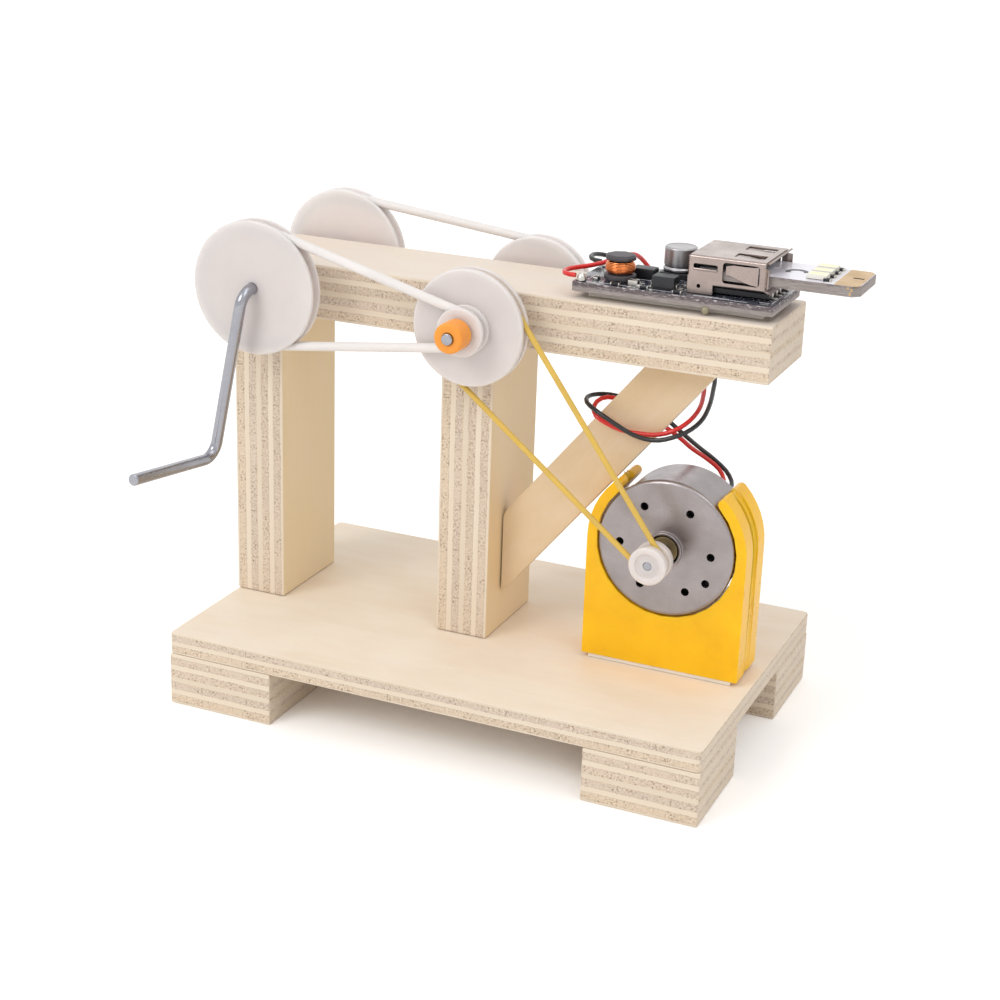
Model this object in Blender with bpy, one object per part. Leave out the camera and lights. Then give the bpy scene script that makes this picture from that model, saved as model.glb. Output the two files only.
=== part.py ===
"""Hand crank generator: a plywood frame with a belt drive, a small motor used as a
generator, and a USB output board with an LED stick in its socket.

Metres, +Z up.  The crank turns about Y and the long side of the base lies along X.
Places are given from the base's left end (x), the base's front edge (y) and the floor (z).
place() moves them so that the origin is at the bottom centre of the whole object.
"""
from math import atan2, ceil, cos, hypot, pi, radians, sin, tan

import bmesh
import bpy
from mathutils import Vector

# Clearances
GAP = 0.0003
LEAST_TURN_GAP = 0.0004

# Plywood frame
BASE_LENGTH = 0.100
BASE_WIDTH = 0.064
BASE_THICK = 0.004
FOOT_LENGTH = 0.0205
FOOT_WIDTH = 0.020
FOOT_HEIGHT = 0.0095
POST_WIDTH = 0.0099
POST_DEPTH = 0.020
POST_HEIGHT = 0.054
POST_FRONT_Y = 0.0237
RIGHT_POST_X = 0.0414
BEAM_LENGTH = 0.0994
BEAM_HEIGHT = 0.0098
WOOD_EDGE = 0.0003
BASE_CORNER = 0.001

# Brace
BRACE_WIDTH = 0.0097
BRACE_THICK = 0.003
BRACE_FRONT_Y = 0.0292
BRACE_SLOPE = radians(51)
BRACE_MOUNT_CLEARANCE = 0.0004
BRACE_CORNER = 0.0012

# Steel rods and the holes that they turn in
ROD_RADIUS = 0.001
CRANK_X = 0.0101
CRANK_UP_IN_BEAM = 0.0068
MID_X = 0.0493
MID_UP_IN_BEAM = 0.0043
CRANK_ARM = 0.0313
CRANK_LEAN = radians(11.5)
CRANK_ARM_Y = 0.010
CRANK_TAIL = 0.0014
HANDLE_LENGTH = 0.0241
HANDLE_RISE = radians(7)
HANDLE_TURN = radians(1.9)
BEND_RADIUS = 0.0028
MID_SHAFT_FRONT = 0.0005
MID_SHAFT_BACK = 0.0008
COLLAR_RADIUS = 0.0026
COLLAR_LENGTH = 0.004

# Belts and pulleys
DRIVE_BELT = 0.0016
MOTOR_BELT = 0.0014
FRONT_BELT_Y = 0.0148
BACK_BELT_Y = 0.0475
PULLEY_STEP = 0.0032
CRANK_FLANGE = 0.0117
CRANK_GROOVE = 0.0095
MID_SMALL_FLANGE = 0.0042
MID_SMALL_GROOVE = 0.0020
MID_LARGE_FLANGE = 0.0100
MID_LARGE_GROOVE = 0.0082
MID_BACK_GROOVE = 0.0079
MOTOR_FLANGE = 0.0033
MOTOR_GROOVE = 0.0016
MOTOR_PULLEY_LENGTH = 0.0044
MOTOR_PULLEY_RECESS = 0.0020
MOTOR_PULLEY_RECESS_DEPTH = 0.0005
RIM_CHAMFER = 0.0003

# Motor, used as the generator
MOTOR_X = 0.0834
MOTOR_RADIUS = 0.0122
MOTOR_FRONT_Y = 0.0250
PLATE_THICK = 0.0008
CAN_STEP = 0.0005
CAN_LENGTH = 0.0115
CAN_WALL = 0.0008
CAN_CORNER = 0.0012
PLATE_HOLE = 0.0007
PLATE_HOLE_CIRCLE = 0.00815
PLATE_HOLE_COUNT = 6
EXTRA_HOLE_CIRCLE = 0.0090
EXTRA_HOLE_ANGLE = radians(-33)
BOSS_WALL = 0.0004
BOSS_DEPTH = 0.0008
BEARING_RADIUS = 0.00245
BEARING_FRONT = 0.0006
BEARING_LENGTH = 0.0030
REAR_BEARING_LENGTH = 0.0020
MOTOR_SHAFT_RADIUS = 0.00075
SHAFT_FRONT_INSET = 0.0003
SHAFT_BACK = 0.0007
MAGNET_THICK = 0.0018
MAGNET_LENGTH = 0.0075
MAGNET_SPAN = radians(120)
AIR_GAP = 0.0006
CORE_LENGTH = 0.0048
CORE_INSET = 0.0022
CORE_HUB = 0.0024
CORE_ARMS = 3
CORE_ARM = 0.0024
SHOE_DEPTH = 0.0015
SHOE_SPAN = radians(88)
WINDING_WALL = 0.0010
WINDING_INNER = 0.0031
COMMUTATOR_RADIUS = 0.0017
COMMUTATOR_LENGTH = 0.0012
BRUSH_LENGTH = 0.0042
BRUSH_WIDTH = 0.0009
TERMINAL_BLOCK = 0.0010
TERMINAL_SIZE = 0.0014

# Motor mount
MOUNT_WALL = 0.0018
MOUNT_FLOOR = 0.0092
MOUNT_FRONT_Y = 0.0253
MOUNT_DEPTH = 0.0108
MOUNT_ARM_END = radians(45)
MOUNT_GROOVE_WIDTH = 0.0030
MOUNT_GROOVE_DEPTH = 0.0005
MOUNT_TAPE = 0.0007
MOUNT_TAPE_INSET = 0.0012

# Output board and its parts
BOARD_X = 0.0643
BOARD_FRONT_Y = 0.0249
BOARD_LENGTH = 0.0345
BOARD_WIDTH = 0.0162
BOARD_THICK = 0.0016
BOARD_TAPE = 0.0006
BOARD_TAPE_INSET = 0.0022
INDUCTOR_X = 0.0711
INDUCTOR_Y = 0.0294
INDUCTOR_RADIUS = 0.0027
INDUCTOR_HEIGHT = 0.0042
INDUCTOR_FLANGE = 0.0006
INDUCTOR_CORE = 0.0017
INDUCTOR_WIRE = 0.00012
INDUCTOR_TURNS = 3
INDUCTOR_TURN_POINTS = 24
CAPACITOR_X = 0.0786
CAPACITOR_Y = 0.0382
CAPACITOR_RADIUS = 0.00285
CAPACITOR_HEIGHT = 0.0039
CAPACITOR_BASE = 0.0006
DIODE_X = 0.0796
DIODE_Y = 0.0278
DIODE_LENGTH = 0.0040
DIODE_WIDTH = 0.0028
DIODE_HEIGHT = 0.0020
CHIP_X = 0.0740
CHIP_Y = 0.0336
CHIP_LENGTH = 0.0040
CHIP_WIDTH = 0.0028
CHIP_HEIGHT = 0.0015
PAD_X = 0.0656
RED_PAD_Y = 0.0260
BLACK_PAD_Y = 0.0378
PAD_LENGTH = 0.0015
PAD_WIDTH = 0.0014
PAD_HEIGHT = 0.0011

# USB socket
USB_X = 0.0834
USB_FRONT_Y = 0.0273
USB_LENGTH = 0.0130
USB_WIDTH = 0.0131
USB_HEIGHT = 0.0049
USB_WALL = 0.00035
USB_STANDOFF = 0.0015
USB_TAB = 0.0044
TONGUE_THICK = 0.0012
TONGUE_LENGTH = 0.0105
TONGUE_WIDTH = 0.0110
INSULATOR_WALL = 0.00065
INSULATOR_FOOT = 0.0130
SPRING_WIDTH = 0.0021
SIDE_SPRING_LENGTH = 0.0060
TOP_SPRING_LENGTH = 0.0055
TOP_SPRING_SPREAD = 0.0030

# LED stick
STICK_INSET = 0.0016
STICK_LENGTH = 0.0267
STICK_WIDTH = 0.0120
STICK_THICK = 0.0017
STICK_CORNER = 0.0012
STICK_SLOT_LENGTH = 0.0018
STICK_SLOT_WIDTH = 0.0010
STICK_SLOT_INSET = 0.0017
LAMP_COUNT = 3
LAMP_PITCH = 0.0032
LAMP_LENGTH = 0.0033
LAMP_WIDTH = 0.0022
LAMP_HEIGHT = 0.0006
LAMP_FROM_END = 0.0075

# Wires from the motor to the board, as route points chosen by hand, in millimetres
WIRE_RADIUS = 0.0004
WIRE_STEP = 0.0024
RED_ROUTE_MM = [(88.0, 39.9, 44.5), (88.0, 41.0, 44.5), (87.6, 42.7, 44.9), (86.3, 43.4, 46.3),
                (84.3, 42.2, 48.2), (82.2, 39.9, 50.4), (80.2, 37.8, 52.9), (76.4, 36.4, 55.6),
                (72.9, 35.0, 57.8), (70.2, 33.7, 59.2), (68.4, 32.3, 59.5), (67.5, 30.4, 58.8),
                (68.2, 28.3, 57.7), (70.0, 27.9, 56.7), (73.0, 28.2, 55.6), (76.3, 28.3, 55.4),
                (79.6, 28.3, 55.7), (82.5, 28.5, 56.8), (84.3, 30.4, 58.1), (84.9, 33.7, 59.3),
                (84.3, 37.8, 60.3), (83.0, 42.0, 61.9), (80.4, 45.3, 65.4), (77.4, 46.8, 69.4),
                (74.4, 47.3, 73.6), (71.6, 47.0, 77.6), (69.7, 45.6, 80.7), (68.8, 43.2, 82.4),
                (68.1, 40.2, 82.8), (67.4, 37.0, 82.7), (66.0, 34.2, 82.4), (64.3, 32.2, 82.1),
                (62.8, 30.4, 82.0), (61.9, 28.7, 81.9), (62.0, 27.1, 81.8), (63.1, 26.1, 81.8),
                (64.5, 26.0, 81.8)]
BLACK_ROUTE_MM = [(89.4, 39.9, 43.8), (89.4, 41.0, 43.8), (89.1, 43.0, 44.2), (87.5, 44.5, 45.6),
                  (85.1, 44.0, 47.7), (82.9, 42.1, 50.0), (80.9, 39.5, 52.7), (77.5, 38.1, 55.7),
                  (73.3, 37.0, 57.9), (69.3, 35.6, 59.1), (67.0, 33.9, 59.5), (65.7, 31.6, 59.5),
                  (66.4, 29.2, 59.2), (68.7, 27.2, 58.7), (71.2, 26.6, 57.7), (73.7, 26.6, 56.5),
                  (76.4, 26.8, 55.4), (79.8, 27.0, 55.1), (83.0, 27.4, 56.1), (85.3, 29.1, 57.3),
                  (86.3, 32.1, 58.5), (86.1, 36.2, 59.9), (85.2, 40.6, 61.2), (84.4, 43.6, 62.8),
                  (82.6, 45.3, 67.0), (76.8, 45.6, 72.2), (70.6, 45.7, 76.6), (66.5, 45.5, 79.5),
                  (63.9, 44.6, 81.1), (62.3, 42.8, 81.8), (61.7, 40.8, 82.0), (62.2, 39.0, 81.9),
                  (63.3, 38.0, 81.8), (64.5, 37.8, 81.8)]

# Facets
WHEEL_STEPS = 28
SMALL_STEPS = 20
ROD_SIDES = 4
THIN_SIDES = 2
FINE_SIDES = 1

# Levels that follow from the sizes above
BASE_BOTTOM = FOOT_HEIGHT + GAP
BASE_TOP = BASE_BOTTOM + BASE_THICK
POST_BOTTOM = BASE_TOP + GAP
POST_TOP = POST_BOTTOM + POST_HEIGHT
BEAM_BOTTOM = POST_TOP + GAP
BEAM_TOP = BEAM_BOTTOM + BEAM_HEIGHT
CRANK_Z = BEAM_BOTTOM + CRANK_UP_IN_BEAM
MID_Z = BEAM_BOTTOM + MID_UP_IN_BEAM
HOLE_RADIUS = ROD_RADIUS + GAP
BEAM_BACK_Y = POST_FRONT_Y + POST_DEPTH
MOUNT_BORE = MOTOR_RADIUS + GAP
MOUNT_RADIUS = MOUNT_BORE + MOUNT_WALL
TAPE_BOTTOM = BASE_TOP + GAP
MOUNT_BOTTOM = TAPE_BOTTOM + MOUNT_TAPE + GAP
MOTOR_Z = MOUNT_BOTTOM + MOUNT_FLOOR + MOUNT_BORE
BOARD_BOTTOM = BEAM_TOP + GAP + BOARD_TAPE + GAP
BOARD_TOP = BOARD_BOTTOM + BOARD_THICK
ON_BOARD = BOARD_TOP + GAP

# Belt circles, from the groove bottoms
CRANK_BELT_CIRCLE = CRANK_GROOVE + GAP + DRIVE_BELT / 2
MID_SMALL_BELT_CIRCLE = MID_SMALL_GROOVE + GAP + DRIVE_BELT / 2
MID_LARGE_BELT_CIRCLE = MID_LARGE_GROOVE + GAP + MOTOR_BELT / 2
MID_BACK_BELT_CIRCLE = MID_BACK_GROOVE + GAP + DRIVE_BELT / 2
MOTOR_BELT_CIRCLE = MOTOR_GROOVE + GAP + MOTOR_BELT / 2
MOTOR_BELT_Y = FRONT_BELT_Y + PULLEY_STEP

# Motor stations along Y
PLATE_BACK_Y = MOTOR_FRONT_Y + PLATE_THICK
CAN_FRONT_Y = PLATE_BACK_Y + GAP
CAN_BACK_Y = CAN_FRONT_Y + CAN_LENGTH
CAN_RADIUS = MOTOR_RADIUS - CAN_STEP
CAN_INNER = CAN_RADIUS - CAN_WALL
CAN_FLOOR_Y = CAN_BACK_Y - CAN_WALL
BEARING_BORE = MOTOR_SHAFT_RADIUS + GAP
BEARING_SEAT = BEARING_RADIUS + GAP
REAR_BEARING_Y = CAN_FLOOR_Y - (REAR_BEARING_LENGTH - CAN_WALL) / 2
CORE_FRONT_Y = PLATE_BACK_Y + CORE_INSET
CORE_BACK_Y = CORE_FRONT_Y + CORE_LENGTH
COMMUTATOR_Y = CORE_BACK_Y + GAP + WINDING_WALL + GAP
MAGNET_OUTER = CAN_INNER - GAP
MAGNET_INNER = MAGNET_OUTER - MAGNET_THICK
CORE_RADIUS = MAGNET_INNER - AIR_GAP
TERMINAL_Y = CAN_BACK_Y + GAP
TERMINAL_TAB_Y = TERMINAL_Y + TERMINAL_BLOCK + GAP

# USB and LED stick levels
USB_BOTTOM = BOARD_TOP + USB_STANDOFF
USB_TOP = USB_BOTTOM + USB_HEIGHT
USB_MID_Y = USB_FRONT_Y + USB_WIDTH / 2
TONGUE_TOP = USB_TOP - USB_WALL - GAP
TONGUE_BOTTOM = TONGUE_TOP - TONGUE_THICK
STICK_TOP = TONGUE_BOTTOM - GAP
STICK_BOTTOM = STICK_TOP - STICK_THICK
STICK_X = USB_X + STICK_INSET
STICK_RIGHT = STICK_X + STICK_LENGTH

# The handle's end and the origin
HANDLE_REACH = HANDLE_LENGTH * cos(HANDLE_RISE) * cos(HANDLE_TURN)
HANDLE_END_Y = CRANK_ARM_Y - HANDLE_REACH - ROD_RADIUS * sin(HANDLE_RISE)
MID_SHAFT_END_Y = BACK_BELT_Y + PULLEY_STEP * 3 / 2 + GAP + COLLAR_LENGTH + MID_SHAFT_BACK
ORIGIN_X = (CRANK_X - CRANK_FLANGE + STICK_RIGHT) / 2
ORIGIN_Y = (HANDLE_END_Y + max(BASE_WIDTH, MID_SHAFT_END_Y)) / 2


def place(x, y, z):
    """A place on the base, moved to the object's own frame."""
    return Vector((x - ORIGIN_X, y - ORIGIN_Y, z))


def clear_scene():
    for item in list(bpy.data.objects):
        bpy.data.objects.remove(item, do_unlink=True)


def make_material(name, colour, roughness, metallic=0.0):
    material = bpy.data.materials.new(name)
    material.use_nodes = True
    shader = material.node_tree.nodes["Principled BSDF"]
    shader.inputs["Base Color"].default_value = (*colour, 1.0)
    shader.inputs["Roughness"].default_value = roughness
    shader.inputs["Metallic"].default_value = metallic
    return material


def add_object(name, data, at, material):
    data.materials.append(material)
    item = bpy.data.objects.new(name, data)
    item.location = at
    bpy.context.scene.collection.objects.link(item)
    return item


def add_mesh(name, bm, at, material, smooth=False):
    """Make an object from a bmesh whose points are relative to at."""
    bmesh.ops.recalc_face_normals(bm, faces=bm.faces[:])
    mesh = bpy.data.meshes.new(name)
    bm.to_mesh(mesh)
    bm.free()
    if smooth:
        mesh.shade_smooth()
        mesh.set_sharp_from_angle(angle=radians(35))
    return add_object(name, mesh, at, material)


def add_box(bm, low, high, edge=0.0, along=None):
    """Add a box between two corners, its edges chamfered, or only those along one axis."""
    middle = (Vector(low) + Vector(high)) / 2
    size = Vector(high) - Vector(low)
    made = bmesh.ops.create_cube(bm, size=1.0)
    for vert in made["verts"]:
        vert.co = Vector((vert.co.x * size.x, vert.co.y * size.y, vert.co.z * size.z)) + middle
    if edge:
        edges = {line for vert in made["verts"] for line in vert.link_edges}
        if along is not None:
            edges = {line for line in edges if is_along(line, along)}
        bmesh.ops.bevel(bm, geom=list(edges), offset=edge, segments=1, profile=0.5,
                        affect="EDGES", material=-1)
    return bm


def is_along(line, axis):
    run = line.verts[0].co - line.verts[1].co
    return abs(run[axis]) > 0.99 * run.length


def add_ring(bm, profile, steps, turn_axis=(0, 1, 0), centre=(0, 0, 0)):
    """Spin a closed profile of (radius, along) points a full turn about an axis."""
    axis = Vector(turn_axis)
    out = Vector((1, 0, 0))
    middle = Vector(centre)
    verts = [bm.verts.new(middle + out * radius + axis * along) for radius, along in profile]
    edges = [bm.edges.new((verts[i - 1], verts[i])) for i in range(len(verts))]
    bmesh.ops.spin(bm, geom=verts + edges, cent=middle, axis=axis, angle=2 * pi,
                   steps=steps, use_merge=True, use_duplicate=False)
    return bm


def add_rod(bm, radius, start, end, sides, turn_axis=1, centre=(0, 0, 0)):
    """Add a plain round bar along one axis, from start to end on that axis."""
    made = bmesh.ops.create_cone(bm, cap_ends=True, segments=sides, radius1=radius,
                                 radius2=radius, depth=end - start)
    for vert in made["verts"]:
        x, y, along = vert.co
        along += (start + end) / 2
        spot = Vector((x, y, along)) if turn_axis == 2 else Vector((x, along, y))
        vert.co = spot + Vector(centre)
    return bm


def add_prism(bm, outline, low, high, plane="XZ"):
    """Extrude an outline of the XZ plane along Y, or one of the XY plane along Z."""
    if plane == "XZ":
        verts = [bm.verts.new((a, low, b)) for a, b in outline]
        step = Vector((0, high - low, 0))
    else:
        verts = [bm.verts.new((a, b, low)) for a, b in outline]
        step = Vector((0, 0, high - low))
    face = bm.faces.new(verts)
    made = bmesh.ops.extrude_face_region(bm, geom=[face])
    moved = [item for item in made["geom"] if isinstance(item, bmesh.types.BMVert)]
    bmesh.ops.translate(bm, vec=step, verts=moved)
    return bm


def block(name, low, high, material, edge=0.0, along=None):
    """A box given by two corners in base places, its origin at its centre."""
    middle = (Vector(low) + Vector(high)) / 2
    bm = add_box(bmesh.new(), Vector(low) - middle, Vector(high) - middle, edge, along)
    return add_mesh(name, bm, place(*middle), material)


def ring_about_y(name, profile, at, material, steps=WHEEL_STEPS):
    """A turned piece; profile points are (radius, y) in base places."""
    bm = add_ring(bmesh.new(), [(radius, y - at[1]) for radius, y in profile], steps)
    return add_mesh(name, bm, place(*at), material, smooth=True)


def tube(name, points, radius, at, material, sides=THIN_SIDES, closed=False):
    """A round tube through points that are relative to at."""
    curve = bpy.data.curves.new(name, "CURVE")
    curve.dimensions = "3D"
    curve.resolution_u = 1
    curve.bevel_depth = radius
    curve.bevel_resolution = sides
    curve.use_fill_caps = True
    spline = curve.splines.new("POLY")
    spline.points.add(len(points) - 1)
    for target, point in zip(spline.points, points):
        target.co = (*point, 1.0)
    spline.use_cyclic_u = closed
    spline.use_smooth = True
    return add_object(name, curve, at, material)


def cut(item, cutter_bm, name, operation="DIFFERENCE"):
    """Apply a Boolean with a hidden helper that shares the item's origin."""
    bmesh.ops.recalc_face_normals(cutter_bm, faces=cutter_bm.faces[:])
    mesh = bpy.data.meshes.new(name)
    cutter_bm.to_mesh(mesh)
    cutter_bm.free()
    helper = bpy.data.objects.new(name, mesh)
    helper.location = item.location
    helper.hide_render = True
    helper.display_type = "WIRE"
    bpy.context.scene.collection.objects.link(helper)
    modifier = item.modifiers.new(name, "BOOLEAN")
    modifier.operation = operation
    modifier.object = helper
    return item


# Frame

def make_base(wood):
    block("base_board", (0, 0, BASE_BOTTOM), (BASE_LENGTH, BASE_WIDTH, BASE_TOP), wood,
          BASE_CORNER, along=2)


def make_feet(wood):
    lefts = {"left": 0.0, "right": BASE_LENGTH - FOOT_LENGTH}
    fronts = {"front": 0.0, "back": BASE_WIDTH - FOOT_WIDTH}
    for side, x in lefts.items():
        for end, y in fronts.items():
            block(f"foot_{end}_{side}", (x, y, 0), (x + FOOT_LENGTH, y + FOOT_WIDTH, FOOT_HEIGHT),
                  wood, WOOD_EDGE)


def make_posts(wood):
    for side, x in (("left", 0.0), ("right", RIGHT_POST_X)):
        block(f"post_{side}", (x, POST_FRONT_Y, POST_BOTTOM),
              (x + POST_WIDTH, BEAM_BACK_Y, POST_TOP), wood, WOOD_EDGE)


def make_beam(wood):
    beam = block("top_beam", (0, POST_FRONT_Y, BEAM_BOTTOM),
                 (BEAM_LENGTH, BEAM_BACK_Y, BEAM_TOP), wood, WOOD_EDGE)
    middle_x = BEAM_LENGTH / 2
    middle_z = (BEAM_BOTTOM + BEAM_TOP) / 2
    holes = bmesh.new()
    for x, z in ((CRANK_X, CRANK_Z), (MID_X, MID_Z)):
        add_rod(holes, HOLE_RADIUS, -POST_DEPTH, POST_DEPTH, SMALL_STEPS,
                centre=(x - middle_x, 0, z - middle_z))
    cut(beam, holes, "beam_holes")


def make_brace(wood):
    """A strip from the right post to the beam, just clear of the motor mount's arm."""
    slope = tan(BRACE_SLOPE)
    reach = MOUNT_RADIUS + BRACE_MOUNT_CLEARANCE
    low_x = MOTOR_X - reach * sin(BRACE_SLOPE)
    low_z = MOTOR_Z + reach * cos(BRACE_SLOPE)
    left = RIGHT_POST_X + POST_WIDTH + GAP
    rise = BRACE_WIDTH / cos(BRACE_SLOPE)
    left_z = low_z + (left - low_x) * slope
    right_x = low_x + (POST_TOP - low_z) / slope
    outline = [(left, left_z), (right_x, POST_TOP),
               (right_x - BRACE_WIDTH / sin(BRACE_SLOPE), POST_TOP), (left, left_z + rise)]
    at = ((left + right_x) / 2, BRACE_FRONT_Y + BRACE_THICK / 2, POST_TOP / 2)
    bm = add_prism(bmesh.new(), [(x - at[0], z - at[2]) for x, z in outline],
                   -BRACE_THICK / 2, BRACE_THICK / 2)
    ends = [line for line in bm.edges if is_along(line, 1)
            and abs(line.verts[0].co.x + at[0] - left) < GAP]
    bmesh.ops.bevel(bm, geom=ends, offset=BRACE_CORNER, segments=3, profile=0.5,
                    affect="EDGES", material=-1)
    add_mesh("diagonal_brace", bm, place(*at), wood)


# Rods and pulleys

def arc_between(start, corner, end, radius, count=6):
    """Points of a round bend at a corner between two straight runs."""
    back = (start - corner).normalized()
    ahead = (end - corner).normalized()
    turn = back.angle(ahead)
    reach = radius / tan(turn / 2)
    middle = corner + (back + ahead).normalized() * (radius / sin(turn / 2))
    first = corner + back * reach - middle
    last = corner + ahead * reach - middle
    sweep = pi - turn
    side = (last - first * cos(sweep)) / sin(sweep)
    return [middle + first * cos(sweep * i / count) + side * sin(sweep * i / count)
            for i in range(count + 1)]


def make_crank_rod(steel):
    """One bent rod: shaft, arm and handle.  Its origin is on the crank's axis."""
    at = Vector((CRANK_X, CRANK_ARM_Y, CRANK_Z))
    back = Vector((0, BACK_BELT_Y + PULLEY_STEP / 2 + CRANK_TAIL - CRANK_ARM_Y, 0))
    top = Vector((0, 0, 0))
    low = Vector((-sin(CRANK_LEAN), 0, -cos(CRANK_LEAN))) * CRANK_ARM
    handle = Vector((-sin(HANDLE_TURN) * cos(HANDLE_RISE), -cos(HANDLE_TURN) * cos(HANDLE_RISE),
                     sin(HANDLE_RISE))) * HANDLE_LENGTH
    points = [back]
    points += arc_between(back, top, low, BEND_RADIUS)
    points += arc_between(top, low, low + handle, BEND_RADIUS)
    points.append(low + handle)
    tube("crank_rod", points, ROD_RADIUS, place(*at), steel, ROD_SIDES)


def groove_profile(flange, groove, middle_y, thick, belt):
    """The rim of one pulley step, front to back, with a groove that the belt lies in."""
    front = middle_y - thick / 2
    back = middle_y + thick / 2
    half = belt / 2 + GAP
    lip = min(RIM_CHAMFER, (thick / 2 - half) / 2)
    rim = [(flange - lip, front), (flange, front + lip), (flange, middle_y - half)]
    rim += [(groove + half - half * sin(pi * i / 4), middle_y - half * cos(pi * i / 4))
            for i in range(5)]
    return rim + [(flange, middle_y + half), (flange, back - lip), (flange - lip, back)]


def make_crank_pulley(name, belt_y, plastic):
    rim = groove_profile(CRANK_FLANGE, CRANK_GROOVE, belt_y, PULLEY_STEP, DRIVE_BELT)
    profile = [(HOLE_RADIUS, rim[0][1])] + rim + [(HOLE_RADIUS, rim[-1][1])]
    ring_about_y(name, profile, (CRANK_X, belt_y, CRANK_Z), plastic)


def stepped_profile(small, large):
    """A small step and a large one in one piece, joined at a common face."""
    rims = sorted((small, large), key=lambda rim: rim[0][1])
    return [(HOLE_RADIUS, rims[0][0][1])] + rims[0] + rims[1] + [(HOLE_RADIUS, rims[1][-1][1])]


def make_mid_pulleys(plastic):
    small = groove_profile(MID_SMALL_FLANGE, MID_SMALL_GROOVE, FRONT_BELT_Y, PULLEY_STEP,
                           DRIVE_BELT)
    large = groove_profile(MID_LARGE_FLANGE, MID_LARGE_GROOVE, MOTOR_BELT_Y, PULLEY_STEP,
                           MOTOR_BELT)
    ring_about_y("mid_pulley_front", stepped_profile(small, large),
                 (MID_X, FRONT_BELT_Y, MID_Z), plastic)
    small = groove_profile(MID_SMALL_FLANGE, MID_SMALL_GROOVE, BACK_BELT_Y + PULLEY_STEP,
                           PULLEY_STEP, MOTOR_BELT)
    large = groove_profile(MID_LARGE_FLANGE, MID_BACK_GROOVE, BACK_BELT_Y, PULLEY_STEP,
                           DRIVE_BELT)
    ring_about_y("mid_pulley_back", stepped_profile(small, large),
                 (MID_X, BACK_BELT_Y, MID_Z), plastic)


def make_mid_shaft(steel):
    front = FRONT_BELT_Y - PULLEY_STEP / 2 - GAP - COLLAR_LENGTH - MID_SHAFT_FRONT
    bm = add_rod(bmesh.new(), ROD_RADIUS, front - FRONT_BELT_Y, MID_SHAFT_END_Y - FRONT_BELT_Y,
                 SMALL_STEPS)
    add_mesh("mid_shaft", bm, place(MID_X, FRONT_BELT_Y, MID_Z), steel, smooth=True)


def make_collar(name, front_y, plastic):
    back_y = front_y + COLLAR_LENGTH
    lip = RIM_CHAMFER
    profile = [(HOLE_RADIUS, front_y), (COLLAR_RADIUS - lip, front_y),
               (COLLAR_RADIUS, front_y + lip), (COLLAR_RADIUS, back_y - lip),
               (COLLAR_RADIUS - lip, back_y), (HOLE_RADIUS, back_y)]
    ring_about_y(name, profile, (MID_X, front_y, MID_Z), plastic, SMALL_STEPS)


def make_motor_pulley(plastic):
    front = MOTOR_BELT_Y - MOTOR_PULLEY_LENGTH / 2
    rim = groove_profile(MOTOR_FLANGE, MOTOR_GROOVE, MOTOR_BELT_Y, MOTOR_PULLEY_LENGTH,
                         MOTOR_BELT)
    floor = front + MOTOR_PULLEY_RECESS_DEPTH
    profile = [(BEARING_BORE, floor), (MOTOR_PULLEY_RECESS, floor), (MOTOR_PULLEY_RECESS, front)]
    profile += rim + [(BEARING_BORE, rim[-1][1])]
    ring_about_y("motor_pulley", profile, (MOTOR_X, MOTOR_BELT_Y, MOTOR_Z), plastic, SMALL_STEPS)


def belt_points(radius_a, centre_b, radius_b):
    """A taut loop round two circles in the XZ plane, the first one at the origin."""
    run = hypot(*centre_b)
    heading = atan2(centre_b[1], centre_b[0])
    lift = (radius_a - radius_b) / run
    half = atan2((1 - lift * lift) ** 0.5, lift)
    points = []
    for radius, centre, first, sweep in ((radius_a, (0, 0), heading + half, 2 * (pi - half)),
                                         (radius_b, centre_b, heading - half, 2 * half)):
        count = max(6, ceil(sweep / radians(14)))
        for i in range(count + 1):
            angle = first + sweep * i / count
            points.append((centre[0] + radius * cos(angle), 0.0, centre[1] + radius * sin(angle)))
    return points


def make_belt(name, belt_y, first, second, diameter, rubber):
    """first and second are (x, z, belt circle) of the two pulleys."""
    centre = (second[0] - first[0], second[1] - first[1])
    points = belt_points(first[2], centre, second[2])
    tube(name, points, diameter / 2, place(first[0], belt_y, first[1]), rubber, closed=True)


# Motor

def make_front_plate(zinc):
    front = MOTOR_FRONT_Y
    lip = RIM_CHAMFER
    profile = [(BEARING_SEAT, front - BOSS_DEPTH), (BEARING_SEAT + BOSS_WALL, front - BOSS_DEPTH),
               (BEARING_SEAT + BOSS_WALL, front), (MOTOR_RADIUS - lip, front),
               (MOTOR_RADIUS, front + lip), (MOTOR_RADIUS, PLATE_BACK_Y),
               (BEARING_SEAT, PLATE_BACK_Y)]
    plate = ring_about_y("motor_front_plate", profile, (MOTOR_X, front, MOTOR_Z), zinc)
    spots = [(PLATE_HOLE_CIRCLE, 2 * pi * i / PLATE_HOLE_COUNT) for i in range(PLATE_HOLE_COUNT)]
    spots.append((EXTRA_HOLE_CIRCLE, EXTRA_HOLE_ANGLE))
    holes = bmesh.new()
    for circle, angle in spots:
        add_rod(holes, PLATE_HOLE, -PLATE_THICK, 2 * PLATE_THICK, 12,
                centre=(circle * cos(angle), 0, circle * sin(angle)))
    cut(plate, holes, "plate_holes")


def make_can(zinc):
    front, back, corner = CAN_FRONT_Y, CAN_BACK_Y, CAN_CORNER
    bend = corner * (1 - cos(pi / 4))
    profile = [(CAN_INNER, front), (CAN_RADIUS, front), (CAN_RADIUS, back - corner),
               (CAN_RADIUS - bend, back - bend), (CAN_RADIUS - corner, back),
               (BEARING_SEAT, back), (BEARING_SEAT, CAN_FLOOR_Y), (CAN_INNER, CAN_FLOOR_Y)]
    ring_about_y("motor_can", profile, (MOTOR_X, front, MOTOR_Z), zinc)


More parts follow.
